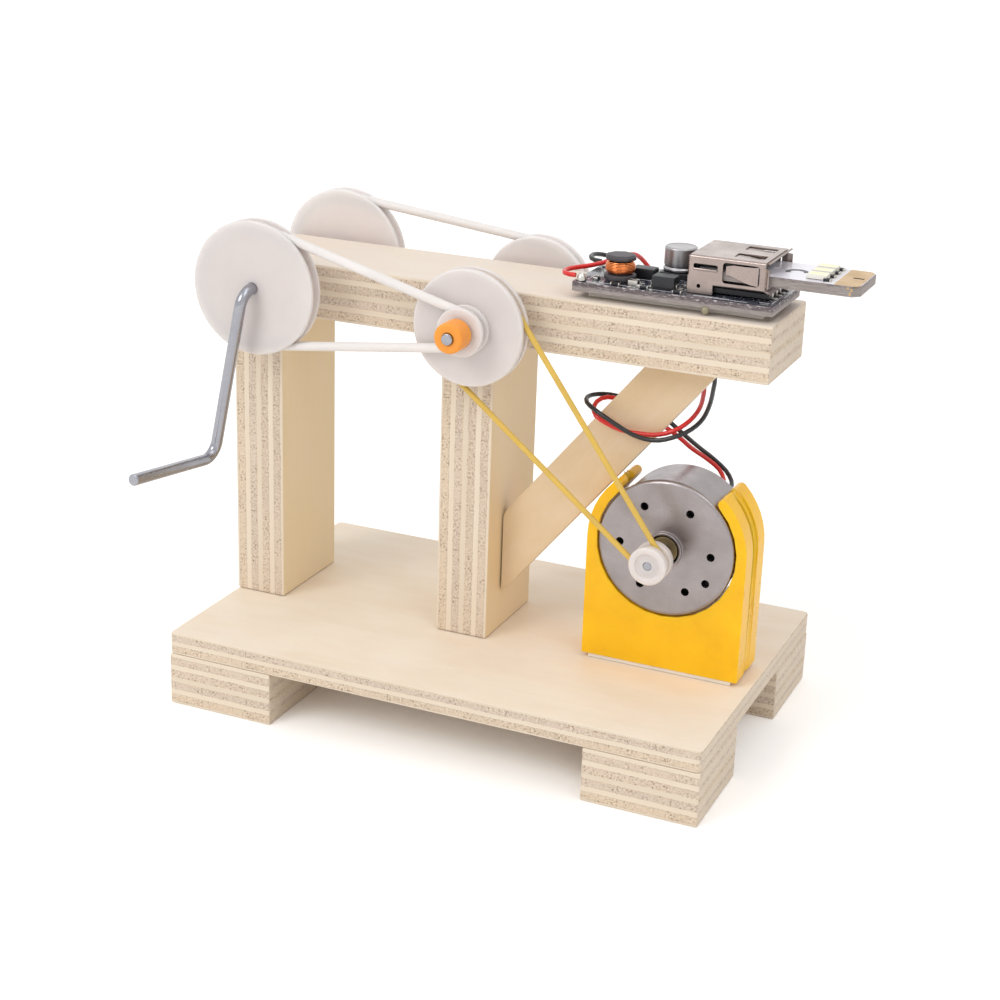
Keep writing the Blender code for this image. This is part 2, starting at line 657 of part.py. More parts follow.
def make_bearings(bronze):
    starts = {"front": (MOTOR_FRONT_Y - BEARING_FRONT, BEARING_LENGTH),
              "rear": (REAR_BEARING_Y, REAR_BEARING_LENGTH)}
    for end, (front, length) in starts.items():
        profile = [(BEARING_BORE, front), (BEARING_RADIUS, front),
                   (BEARING_RADIUS, front + length), (BEARING_BORE, front + length)]
        ring_about_y(f"motor_bearing_{end}", profile, (MOTOR_X, front, MOTOR_Z), bronze,
                     SMALL_STEPS)


def make_motor_shaft(steel):
    front = MOTOR_BELT_Y - MOTOR_PULLEY_LENGTH / 2 + SHAFT_FRONT_INSET
    bm = add_rod(bmesh.new(), MOTOR_SHAFT_RADIUS, front - MOTOR_BELT_Y,
                 CAN_BACK_Y + SHAFT_BACK - MOTOR_BELT_Y, SMALL_STEPS)
    add_mesh("motor_shaft", bm, place(MOTOR_X, MOTOR_BELT_Y, MOTOR_Z), steel, smooth=True)


def turned_points(points, angle):
    return [(x * cos(angle) - z * sin(angle), x * sin(angle) + z * cos(angle)) for x, z in points]


def shoe_corners():
    """The inner edge of a shoe: where it leaves the arm, and its tip."""
    inner = CORE_RADIUS - SHOE_DEPTH
    half_arm = CORE_ARM / 2
    half_shoe = SHOE_SPAN / 2
    return (inner, half_arm), (inner * cos(half_shoe), inner * sin(half_shoe))


def core_outline():
    """Three arms with curved shoes, as one outline about the shaft."""
    root, tip = shoe_corners()
    half_shoe = SHOE_SPAN / 2
    lobe = [(CORE_HUB, -root[1]), (root[0], -root[1]), (tip[0], -tip[1])]
    lobe += [(CORE_RADIUS * cos(angle), CORE_RADIUS * sin(angle))
             for angle in [half_shoe * (i / 4 - 1) for i in range(9)]]
    lobe += [(x, -z) for x, z in reversed(lobe[:3])]
    outline = []
    for i in range(CORE_ARMS):
        outline += turned_points(lobe, 2 * pi * i / CORE_ARMS + pi / 2)
    return outline


def make_rotor_core(iron):
    at = place(MOTOR_X, CORE_FRONT_Y, MOTOR_Z)
    core = add_mesh("motor_rotor", add_prism(bmesh.new(), core_outline(), 0, CORE_LENGTH), at, iron)
    bore = add_rod(bmesh.new(), BEARING_BORE, -CORE_LENGTH, 2 * CORE_LENGTH, SMALL_STEPS)
    cut(core, bore, "rotor_bore")


def make_windings(copper):
    """One closed band of copper round each arm of the core."""
    inner = CORE_ARM / 2 + GAP
    outer = inner + WINDING_WALL
    root, tip = shoe_corners()
    far = root[0] - (root[0] - tip[0]) * (outer - root[1]) / (tip[1] - root[1]) - GAP
    for i in range(CORE_ARMS):
        bm = bmesh.new()
        angle = 2 * pi * i / CORE_ARMS + pi / 2
        loops = []
        for half, spare in ((outer, GAP + WINDING_WALL), (inner, GAP)):
            for radius in (WINDING_INNER, far):
                corners = [(-half, -spare), (half, -spare), (half, CORE_LENGTH + spare),
                           (-half, CORE_LENGTH + spare)]
                loops.append([bm.verts.new((radius * cos(angle) - side * sin(angle), y,
                                            radius * sin(angle) + side * cos(angle)))
                              for side, y in corners])
        outer_near, outer_far, inner_near, inner_far = loops
        for a, b in ((outer_near, outer_far), (inner_near, inner_far),
                     (outer_near, inner_near), (outer_far, inner_far)):
            for k in range(4):
                bm.faces.new((a[k - 1], a[k], b[k], b[k - 1]))
        at = place(MOTOR_X, CORE_FRONT_Y, MOTOR_Z)
        add_mesh(f"motor_winding_{i + 1}", bm, at, copper)


def make_commutator(copper):
    front = COMMUTATOR_Y
    back = front + COMMUTATOR_LENGTH
    profile = [(BEARING_BORE, front), (COMMUTATOR_RADIUS, front), (COMMUTATOR_RADIUS, back),
               (BEARING_BORE, back)]
    ring_about_y("motor_commutator", profile, (MOTOR_X, front, MOTOR_Z), copper, SMALL_STEPS)


def make_brushes(metal):
    """Two flat springs, one each side of the commutator."""
    low = COMMUTATOR_RADIUS + GAP
    for name, side in (("left", -1), ("right", 1)):
        near, far = sorted((side * low, side * (low + BRUSH_WIDTH)))
        bm = add_box(bmesh.new(), (near, 0, -BRUSH_LENGTH / 2),
                     (far, COMMUTATOR_LENGTH, BRUSH_LENGTH / 2))
        add_mesh(f"motor_brush_{name}", bm, place(MOTOR_X, COMMUTATOR_Y, MOTOR_Z), metal)


def make_magnets(ferrite):
    """Two curved magnets that line the can, one on each side."""
    count = 8
    front = CORE_FRONT_Y + (CORE_LENGTH - MAGNET_LENGTH) / 2
    for name, middle in (("right", 0.0), ("left", pi)):
        bm = bmesh.new()
        rows = []
        for radius, y in ((MAGNET_INNER, 0), (MAGNET_OUTER, 0), (MAGNET_OUTER, MAGNET_LENGTH),
                          (MAGNET_INNER, MAGNET_LENGTH)):
            angles = [middle + MAGNET_SPAN * (i / count - 0.5) for i in range(count + 1)]
            rows.append([bm.verts.new((radius * cos(a), y, radius * sin(a))) for a in angles])
        for k in range(4):
            for i in range(count):
                bm.faces.new((rows[k - 1][i], rows[k][i], rows[k][i + 1], rows[k - 1][i + 1]))
        for i in (0, count):
            bm.faces.new([row[i] for row in rows])
        add_mesh(f"motor_magnet_{name}", bm, place(MOTOR_X, front, MOTOR_Z), ferrite)


def terminal_spots():
    """Where the two tabs stand behind the can: the ends of the two wires."""
    return {name: (route[0][0] / 1000 - MOTOR_X, route[0][2] / 1000 - MOTOR_Z)
            for name, route in (("red", RED_ROUTE_MM), ("black", BLACK_ROUTE_MM))}


def make_terminals(plastic, metal):
    """A plastic block on the can's back, and a tab for each wire."""
    spots = terminal_spots()
    half = TERMINAL_SIZE / 2
    low_x = min(x for x, z in spots.values()) - TERMINAL_SIZE
    high_x = max(x for x, z in spots.values()) + half
    low_z = min(z for x, z in spots.values()) - TERMINAL_SIZE
    high_z = max(z for x, z in spots.values()) + half
    bm = add_box(bmesh.new(), (low_x, 0, low_z), (high_x, TERMINAL_BLOCK, high_z))
    add_mesh("motor_terminal_block", bm, place(MOTOR_X, TERMINAL_Y, MOTOR_Z), plastic)
    reach = RED_ROUTE_MM[0][1] / 1000 - GAP - TERMINAL_TAB_Y
    half = WIRE_RADIUS
    for name, (x, z) in spots.items():
        bm = add_box(bmesh.new(), (x - half, 0, z - half), (x + half, reach, z + half))
        add_mesh(f"motor_terminal_{name}", bm, place(MOTOR_X, TERMINAL_TAB_Y, MOTOR_Z), metal)


def mount_outline(inset):
    """The mount's outline about the motor's axis; inset draws in the sides and the arms."""
    outer = MOUNT_RADIUS - inset
    floor = MOUNT_BOTTOM - MOTOR_Z
    end = MOUNT_ARM_END
    tip = MOUNT_WALL / 2
    middle = MOUNT_BORE + tip
    points = [(-outer, floor), (outer, floor)]
    points += [(outer * cos(end * i / 6), outer * sin(end * i / 6)) for i in range(7)]
    top = (middle * cos(end), middle * sin(end))
    points += [(top[0] + (tip - inset / 2) * cos(end + pi * i / 4),
                top[1] + tip * sin(end + pi * i / 4)) for i in (1, 2, 3)]
    sweep = pi + 2 * end
    count = 20
    points += [(MOUNT_BORE * cos(end - sweep * i / count), MOUNT_BORE * sin(end - sweep * i / count))
               for i in range(count + 1)]
    points += [(-x, z) for x, z in reversed(points[2:12])]
    return points


def make_mount(plastic):
    """A cradle that holds the motor, with a shallow groove round its outer side."""
    edge = (MOUNT_DEPTH - MOUNT_GROOVE_WIDTH) / 2
    stations = [(0, 0), (edge, 0), (edge, MOUNT_GROOVE_DEPTH),
                (MOUNT_DEPTH - edge, MOUNT_GROOVE_DEPTH), (MOUNT_DEPTH - edge, 0), (MOUNT_DEPTH, 0)]
    bm = bmesh.new()
    loops = [[bm.verts.new((x, y, z)) for x, z in mount_outline(inset)] for y, inset in stations]
    for near, far in zip(loops, loops[1:]):
        for k in range(len(near)):
            if (near[k - 1].co - far[k - 1].co).length + (near[k].co - far[k].co).length > 1e-6:
                bm.faces.new((near[k - 1], near[k], far[k], far[k - 1]))
    bm.faces.new(loops[0])
    bm.faces.new(loops[-1])
    bmesh.ops.remove_doubles(bm, verts=bm.verts[:], dist=1e-6)
    add_mesh("motor_mount", bm, place(MOTOR_X, MOUNT_FRONT_Y, MOTOR_Z), plastic)


def make_mount_tape(foam):
    reach = MOUNT_RADIUS - MOUNT_TAPE_INSET
    block("mount_tape", (MOTOR_X - reach, MOUNT_FRONT_Y + GAP, TAPE_BOTTOM),
          (MOTOR_X + reach, MOUNT_FRONT_Y + MOUNT_DEPTH - GAP, TAPE_BOTTOM + MOUNT_TAPE), foam)


# Board and its parts

def make_board(fibre, foam):
    right = BOARD_X + BOARD_LENGTH
    back = BOARD_FRONT_Y + BOARD_WIDTH
    block("circuit_board", (BOARD_X, BOARD_FRONT_Y, BOARD_BOTTOM), (right, back, BOARD_TOP),
          fibre, GAP, along=2)
    inset = BOARD_TAPE_INSET
    block("board_tape", (BOARD_X + inset, BOARD_FRONT_Y + inset, BEAM_TOP + GAP),
          (right - inset, back - inset, BEAM_TOP + GAP + BOARD_TAPE), foam)


def make_inductor(ferrite, copper):
    """A ferrite reel with an open winding, which is one unbroken helix."""
    at = (INDUCTOR_X, INDUCTOR_Y, ON_BOARD)
    lip = INDUCTOR_FLANGE
    top = INDUCTOR_HEIGHT
    profile = [(0.0, 0.0), (INDUCTOR_RADIUS, 0.0), (INDUCTOR_RADIUS, lip), (INDUCTOR_CORE, lip),
               (INDUCTOR_CORE, top - lip), (INDUCTOR_RADIUS, top - lip), (INDUCTOR_RADIUS, top),
               (0.0, top)]
    bm = bmesh.new()
    verts = [bm.verts.new((radius, 0, z)) for radius, z in profile]
    edges = [bm.edges.new((a, b)) for a, b in zip(verts, verts[1:])]
    bmesh.ops.spin(bm, geom=verts + edges, cent=(0, 0, 0), axis=(0, 0, 1), angle=2 * pi,
                   steps=SMALL_STEPS, use_merge=True, use_duplicate=False)
    bmesh.ops.remove_doubles(bm, verts=bm.verts[:], dist=1e-6)
    add_mesh("inductor_core", bm, place(*at), ferrite, smooth=True)
    circle = INDUCTOR_CORE + GAP + INDUCTOR_WIRE
    low = lip + GAP + INDUCTOR_WIRE
    climb = top - 2 * low
    count = INDUCTOR_TURNS * INDUCTOR_TURN_POINTS
    helix = [(circle * cos(2 * pi * i / INDUCTOR_TURN_POINTS),
              circle * sin(2 * pi * i / INDUCTOR_TURN_POINTS), low + climb * i / count)
             for i in range(count + 1)]
    tube("inductor_winding", helix, INDUCTOR_WIRE, place(*at), copper, FINE_SIDES)
    print(f"inductor winding: least gap to itself {least_turn_gap(helix) * 1000:.2f} mm,"
          f" at least {LEAST_TURN_GAP * 1000:.1f} mm wanted")


def least_turn_gap(helix):
    """The least free space between points of the helix that are half a turn or more apart."""
    skip = INDUCTOR_TURN_POINTS // 2
    spans = [(Vector(a) - Vector(b)).length for i, a in enumerate(helix) for b in helix[i + skip:]]
    return min(spans) - 2 * INDUCTOR_WIRE


def make_capacitor(aluminium, plastic):
    at = (CAPACITOR_X, CAPACITOR_Y, ON_BOARD)
    half = CAPACITOR_RADIUS
    bm = add_box(bmesh.new(), (-half, -half, 0), (half, half, CAPACITOR_BASE), GAP * 2, along=2)
    add_mesh("capacitor_base", bm, place(*at), plastic)
    low = CAPACITOR_BASE + GAP
    bm = add_rod(bmesh.new(), CAPACITOR_RADIUS, low, low + CAPACITOR_HEIGHT, SMALL_STEPS, 2)
    rims = [line for line in bm.edges if abs(line.verts[0].co.z - line.verts[1].co.z) < 1e-6]
    bmesh.ops.bevel(bm, geom=rims, offset=RIM_CHAMFER, segments=1, profile=0.5,
                    affect="EDGES", material=-1)
    add_mesh("capacitor_can", bm, place(*at), aluminium, smooth=True)


def on_board_block(name, x, y, length, width, height, material, edge=0.0):
    block(name, (x - length / 2, y - width / 2, ON_BOARD),
          (x + length / 2, y + width / 2, ON_BOARD + height), material, edge)


def make_board_parts(plastic, metal):
    on_board_block("power_diode", DIODE_X, DIODE_Y, DIODE_LENGTH, DIODE_WIDTH, DIODE_HEIGHT,
                   plastic, GAP)
    on_board_block("switch_chip", CHIP_X, CHIP_Y, CHIP_LENGTH, CHIP_WIDTH, CHIP_HEIGHT,
                   plastic, GAP)
    for name, y in (("red", RED_PAD_Y), ("black", BLACK_PAD_Y)):
        on_board_block(f"solder_joint_{name}", PAD_X, y, PAD_LENGTH, PAD_WIDTH, PAD_HEIGHT,
                       metal, GAP)


def make_usb_shell(nickel):
    """A thin box open at its right end, with a tab each side that stands on the board."""
    at = Vector((USB_X, USB_MID_Y, USB_BOTTOM))
    half = USB_WIDTH / 2
    wall = USB_WALL
    bm = add_box(bmesh.new(), (0, -half, 0), (USB_LENGTH, half, USB_HEIGHT))
    shell = add_mesh("usb_shell", bm, place(*at), nickel)
    tabs = bmesh.new()
    low = GAP - USB_STANDOFF
    for side in (-1, 1):
        near, far = sorted((side * half, side * (half - wall)))
        add_box(tabs, (0, near, low), (USB_TAB, far, USB_HEIGHT / 2))
    cut(shell, tabs, "shell_tabs", "UNION")
    inside = add_box(bmesh.new(), (wall, wall - half, wall),
                     (USB_LENGTH + wall, half - wall, USB_HEIGHT - wall))
    cut(shell, inside, "shell_inside")
    windows = bmesh.new()
    neck = wall + GAP + INSULATOR_WALL + GAP
    reach = TONGUE_WIDTH / 2 + GAP
    add_box(windows, (wall, -reach, -wall), (neck, reach, 2 * wall))
    middle = USB_HEIGHT / 2
    slot = GAP * 1.5
    end = USB_LENGTH - SPRING_WIDTH / 2
    for side in (-1, 1):
        y = side * half
        for z in (middle - SPRING_WIDTH / 2, middle + SPRING_WIDTH / 2):
            add_box(windows, (end - SIDE_SPRING_LENGTH, y - 2 * wall, z - slot / 2),
                    (end, y + 2 * wall, z + slot / 2))
        for y in (side * TOP_SPRING_SPREAD - SPRING_WIDTH / 2,
                  side * TOP_SPRING_SPREAD + SPRING_WIDTH / 2):
            add_box(windows, (end - TOP_SPRING_LENGTH, y - slot / 2, USB_HEIGHT - 2 * wall),
                    (end, y + slot / 2, USB_HEIGHT + wall))
    cut(shell, windows, "shell_windows")


def make_usb_insulator(plastic):
    """A plastic foot under the shell, a riser at its closed end and the tongue inside it."""
    left = USB_WALL + GAP
    foot_low = ON_BOARD - USB_BOTTOM
    foot_high = -GAP
    top = TONGUE_TOP - USB_BOTTOM
    under = TONGUE_BOTTOM - USB_BOTTOM
    outline = [(left, foot_low), (left + INSULATOR_FOOT, foot_low), (left + INSULATOR_FOOT, foot_high),
               (left + INSULATOR_WALL, foot_high), (left + INSULATOR_WALL, under),
               (left + TONGUE_LENGTH, under), (left + TONGUE_LENGTH, top), (left, top)]
    half = TONGUE_WIDTH / 2
    bm = add_prism(bmesh.new(), outline, -half, half)
    add_mesh("usb_insulator", bm, place(USB_X, USB_MID_Y, USB_BOTTOM), plastic)


# LED stick

def make_led_stick(fibre, lens):
    at = Vector((STICK_X, USB_MID_Y, STICK_BOTTOM))
    half = STICK_WIDTH / 2
    corner = STICK_CORNER
    length = STICK_LENGTH
    outline = [(0, -half), (length - corner, -half), (length, corner - half),
               (length, half - corner), (length - corner, half), (0, half)]
    bm = add_prism(bmesh.new(), outline, 0, STICK_THICK, "XY")
    board = add_mesh("led_board", bm, place(*at), fibre)
    end = length - STICK_SLOT_INSET
    slot = add_box(bmesh.new(), (end - STICK_SLOT_LENGTH / 2, -STICK_SLOT_WIDTH / 2, -STICK_THICK),
                   (end + STICK_SLOT_LENGTH / 2, STICK_SLOT_WIDTH / 2, 2 * STICK_THICK))
    cut(board, slot, "stick_slot")
    low = STICK_THICK + GAP
    right = length - LAMP_FROM_END + LAMP_LENGTH / 2
    for i in range(LAMP_COUNT):
        y = (i - (LAMP_COUNT - 1) / 2) * LAMP_PITCH
        bm = add_box(bmesh.new(), (right - LAMP_LENGTH, y - LAMP_WIDTH / 2, low),
                     (right, y + LAMP_WIDTH / 2, low + LAMP_HEIGHT), GAP / 2)
        add_mesh(f"led_lamp_{i + 1}", bm, place(*at), lens)


# Wires

def smooth_route(route_mm):
    """Points at even steps along a Catmull-Rom curve through the route's points."""
    knots = [Vector(point) / 1000 for point in route_mm]
    knots = [2 * knots[0] - knots[1]] + knots + [2 * knots[-1] - knots[-2]]
    fine = []
    for a, b, c, d in zip(knots, knots[1:], knots[2:], knots[3:]):
        for i in range(20):
            t = i / 20
            fine.append(0.5 * (2 * b + (c - a) * t + (2 * a - 5 * b + 4 * c - d) * t * t
                               + (3 * b - a - 3 * c + d) * t * t * t))
    fine.append(knots[-2])
    lengths = [0.0]
    for a, b in zip(fine, fine[1:]):
        lengths.append(lengths[-1] + (b - a).length)
    count = round(lengths[-1] / WIRE_STEP)
    points = []
    k = 0
    for i in range(count + 1):
        want = lengths[-1] * i / count
        while k < len(fine) - 2 and lengths[k + 1] < want:
            k += 1
        share = (want - lengths[k]) / (lengths[k + 1] - lengths[k])
        points.append(fine[k].lerp(fine[k + 1], share))
    return points, lengths[-1]


def make_wire(name, route_mm, sleeve):
    points, length = smooth_route(route_mm)
    start = points[0]
    tube(name, [point - start for point in points], WIRE_RADIUS, place(*start), sleeve)
    print(f"{name}: {length * 1000:.0f} mm long, {len(points)} points")


def main():
    clear_scene()
    ply = make_material("birch_plywood", (0.86, 0.76, 0.58), 0.6)
    steel = make_material("bright_steel", (0.70, 0.70, 0.71), 0.25, 1.0)
    white = make_material("milky_plastic", (0.92, 0.87, 0.86), 0.35)
    orange = make_material("orange_plastic", (1.0, 0.42, 0.05), 0.4)
    amber = make_material("amber_plastic", (1.0, 0.55, 0.02), 0.35)
    white_belt = make_material("white_belt", (0.93, 0.91, 0.90), 0.5)
    yellow_belt = make_material("yellow_belt", (0.95, 0.70, 0.16), 0.5)
    zinc = make_material("zinc_plate", (0.62, 0.61, 0.59), 0.35, 1.0)
    bronze = make_material("sintered_bronze", (0.55, 0.42, 0.28), 0.5, 1.0)
    iron = make_material("laminated_iron", (0.30, 0.30, 0.32), 0.5, 1.0)
    copper = make_material("enamelled_copper", (0.72, 0.33, 0.14), 0.35, 1.0)
    ferrite = make_material("ferrite", (0.06, 0.06, 0.07), 0.6)
    solder = make_material("tinned_metal", (0.75, 0.74, 0.72), 0.35, 1.0)
    black = make_material("black_plastic", (0.03, 0.03, 0.04), 0.45)
    foam = make_material("white_foam_tape", (0.85, 0.84, 0.82), 0.8)
    dark_board = make_material("dark_board", (0.07, 0.08, 0.09), 0.45)
    pale_board = make_material("pale_board", (0.82, 0.80, 0.86), 0.4)
    nickel = make_material("nickel_plate", (0.72, 0.68, 0.64), 0.25, 1.0)
    aluminium = make_material("bare_aluminium", (0.72, 0.72, 0.73), 0.3, 1.0)
    lens = make_material("yellow_lamp", (0.95, 0.88, 0.45), 0.3)
    red = make_material("red_sleeve", (0.75, 0.05, 0.04), 0.4)
    dark = make_material("black_sleeve", (0.02, 0.02, 0.02), 0.4)

    make_base(ply)
    make_feet(ply)
    make_posts(ply)
    make_beam(ply)
    make_brace(ply)

    make_crank_rod(steel)
    make_crank_pulley("crank_pulley_front", FRONT_BELT_Y, white)
    make_crank_pulley("crank_pulley_back", BACK_BELT_Y, white)
    make_mid_shaft(steel)
    make_mid_pulleys(white)
    make_collar("shaft_collar_front", FRONT_BELT_Y - PULLEY_STEP / 2 - GAP - COLLAR_LENGTH, orange)
    make_collar("shaft_collar_back", BACK_BELT_Y + PULLEY_STEP * 3 / 2 + GAP, orange)
    make_motor_pulley(white)
    crank = (CRANK_X, CRANK_Z, CRANK_BELT_CIRCLE)
    make_belt("drive_belt_front", FRONT_BELT_Y, crank, (MID_X, MID_Z, MID_SMALL_BELT_CIRCLE),
              DRIVE_BELT, white_belt)
    make_belt("drive_belt_back", BACK_BELT_Y, crank, (MID_X, MID_Z, MID_BACK_BELT_CIRCLE),
              DRIVE_BELT, white_belt)
    make_belt("motor_belt", MOTOR_BELT_Y, (MID_X, MID_Z, MID_LARGE_BELT_CIRCLE),
              (MOTOR_X, MOTOR_Z, MOTOR_BELT_CIRCLE), MOTOR_BELT, yellow_belt)

    make_mount(amber)
    make_mount_tape(foam)
    make_front_plate(zinc)
    make_can(zinc)
    make_bearings(bronze)
    make_motor_shaft(steel)
    make_rotor_core(iron)
    make_windings(copper)
    make_commutator(copper)
    make_brushes(solder)
    make_magnets(ferrite)
    make_terminals(black, solder)

    make_board(dark_board, foam)
    make_inductor(ferrite, copper)
    make_capacitor(aluminium, black)
    make_board_parts(black, solder)
    make_usb_shell(nickel)
    make_usb_insulator(black)
    make_led_stick(pale_board, lens)

    make_wire("wire_red", RED_ROUTE_MM, red)
    make_wire("wire_black", BLACK_ROUTE_MM, dark)


main()
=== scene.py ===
"""Hand crank generator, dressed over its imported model: a plywood frame with two belt drives,
a small motor used as the generator, and a USB output board with an LED stick in its socket.

Metres, +Z up.  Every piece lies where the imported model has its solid.
"""
from math import acos, atan2, cos, hypot, pi, radians, sin, tan

import bmesh
import bpy
from bpy.props import FloatProperty, FloatVectorProperty, IntProperty, PointerProperty
from bpy.types import Operator, Panel, PropertyGroup
from mathutils import Matrix, Vector


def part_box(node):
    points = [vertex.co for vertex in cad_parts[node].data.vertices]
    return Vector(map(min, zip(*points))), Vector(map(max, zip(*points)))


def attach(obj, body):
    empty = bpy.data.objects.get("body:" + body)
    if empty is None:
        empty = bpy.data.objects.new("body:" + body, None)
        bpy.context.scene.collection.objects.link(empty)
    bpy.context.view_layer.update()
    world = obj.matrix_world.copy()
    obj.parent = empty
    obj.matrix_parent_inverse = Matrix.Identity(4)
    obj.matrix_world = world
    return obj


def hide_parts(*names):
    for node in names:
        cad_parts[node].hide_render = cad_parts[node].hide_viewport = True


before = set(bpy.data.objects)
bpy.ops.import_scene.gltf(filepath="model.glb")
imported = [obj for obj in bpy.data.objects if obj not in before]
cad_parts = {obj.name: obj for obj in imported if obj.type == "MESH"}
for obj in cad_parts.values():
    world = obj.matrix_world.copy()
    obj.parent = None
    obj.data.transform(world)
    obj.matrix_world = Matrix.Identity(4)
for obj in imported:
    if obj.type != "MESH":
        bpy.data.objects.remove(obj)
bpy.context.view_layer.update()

bl_info = {
    "name": "Hand crank generator",
    "version": (1, 0, 0),
    "blender": (4, 5, 0),
    "location": "View3D > Sidebar > Generator",
    "description": "Models and shades a wooden hand crank generator kit over its packed frame",
    "category": "Object",
}

CORNER = Vector(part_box("base_board")[0])
GAP = 0.0003
FLAT = radians(1)


def srgb(red, green, blue):
    """A colour given from 0 to 255, as Blender's linear values."""
    shares = [value / 255 for value in (red, green, blue)]
    return (*[s / 12.92 if s <= 0.04045 else ((s + 0.055) / 1.055) ** 2.4 for s in shares], 1.0)


def colour(label, description, *shade):
    """A colour that a user may change."""
    return FloatVectorProperty(name=label, description=description, subtype="COLOR", size=4,
                               min=0.0, max=1.0, default=srgb(*shade))


def length(label, description, default):
    """A size that a user may change, in metres."""
    return FloatProperty(name=label, description=description, unit="LENGTH", subtype="DISTANCE",
                         min=0.0, precision=5, default=default)


def power(label, description, default):
    """A lamp's power that a user may change."""
    return FloatProperty(name=label, description=description, unit="POWER", min=0.0,
                         default=default)


class GeneratorWood(PropertyGroup):
    """Sizes and colours of the plywood frame."""
    veneer: colour("Veneer", "Long grain of the birch layers", 242, 229, 211)
    end_grain: colour("End grain", "Cut ends of the crossed layers", 223, 203, 177)
    edge: length("Edge rounding", "Rounding of the sawn edges", 0.00036)
    base_corner: length("Base corner", "Rounding of the base's upright corners", 0.001)
    beam_layers: IntProperty(name="Frame layers", description="Layers of the thick plywood",
                             min=3, max=15, default=9)
    base_layers: IntProperty(name="Base layers", description="Layers of the base's plywood",
                             min=3, max=9, default=5)


class GeneratorDrive(PropertyGroup):
    """Sizes and colours of the rods, pulleys and belts."""
    milky: colour("Pulley plastic", "Milky plastic of the pulleys", 219, 211, 208)
    orange: colour("Collar plastic", "Orange plastic of the collars", 248, 158, 54)
    white_belt: colour("White belt", "Round belts of the crank drive", 229, 224, 221)
    yellow_belt: colour("Yellow belt", "Round belt of the motor drive", 218, 182, 84)
    # Steel set darker and bluer than bright steel: painted reflection, for the dark streak along
    # the rod
    steel: colour("Steel", "Crank, shafts", 162, 163, 170)
    rod: length("Rod radius", "Radius of the crank rod and the middle shaft", 0.001)
    bend: length("Bend radius", "Radius of the crank rod's bends, to its middle", 0.0028)
    drive_belt: length("Drive belt", "Diameter of the white belts", 0.0016)
    motor_belt: length("Motor belt", "Diameter of the yellow belt", 0.00098)


class GeneratorMotor(PropertyGroup):
    """Sizes and colours of the motor and its mount."""
    amber: colour("Mount plastic", "Yellow plastic of the motor mount", 255, 194, 24)
    zinc: colour("Motor metal", "Plated steel of the motor's plate and can", 162, 155, 155)
    bronze: colour("Bearing", "Sintered bronze of the bearings", 132, 118, 88)
    copper: colour("Copper", "Enamelled copper of the windings", 196, 112, 58)
    rim: length("Rolled rim", "Rounding of the front plate's rim", 0.00074)
    hole: length("Vent hole", "Radius of the front plate's holes", 0.00072)
    mount_edge: length("Mount edge", "Rounding of the mount's edges", 0.0006)


class GeneratorBoard(PropertyGroup):
    """Colours of the output board, its socket and the LED stick."""
    mask: colour("Board top", "Dark lacquer of the output board", 46, 48, 62)
    fibre: colour("Board edge", "Sawn glass fibre edge of the boards", 158, 148, 144)
    stick: colour("Stick top", "Pale lacquer of the LED stick", 224, 221, 230)
    gold: colour("Plated pad", "Gold plated end of the LED stick", 196, 164, 118)
    nickel: colour("Socket shell", "Nickel plated steel of the socket", 166, 152, 146)
    lamp: colour("Lamp", "Yellow fill of the LED lamps", 252, 243, 158)


class GeneratorWires(PropertyGroup):
    """Sizes and colours of the two wires."""
    red: colour("Red sleeve", "Sleeve of the red wire", 222, 38, 34)
    black: colour("Black sleeve", "Sleeve of the black wire", 24, 24, 27)
    diameter: length("Wire diameter", "Diameter over the sleeve", 0.0008)


class GeneratorStage(PropertyGroup):
    """Floor, lamps and camera."""
    floor: colour("Floor", "Colour of the studio floor", 252, 250, 248)
    fill: FloatProperty(name="Fill light", description="Strength of the even light all round",
                        min=0.0, default=0.72)
    key: power("Key light", "Power of the large lamp at the front left", 2.3)
    top: power("Top light", "Power of the lamp overhead", 0.8)
    side: power("Side light", "Power of the lamp high at the right", 0.8)
    back: power("Back light", "Power of the low lamp at the back", 0.16)
    lens: FloatProperty(name="Focal length", description="Camera lens on a 36 mm sensor",
                        unit="CAMERA", min=1.0, default=69.309)


def place(x, y, z):
    """Millimetres from the base's front left corner, and up from the floor."""
    return Vector((CORNER.x + x / 1000, CORNER.y + y / 1000, z / 1000))


class Box:
    """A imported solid's corners and middle, and its radius and axis if it is round about Y."""

    def __init__(self, node):
        self.low, self.high = (Vector(corner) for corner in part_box(node))
        self.middle = (self.low + self.high) / 2
        self.radius = (self.high.x - self.low.x) / 2
        self.axis = (self.middle.x, 0, self.middle.z)


# Shader nodes

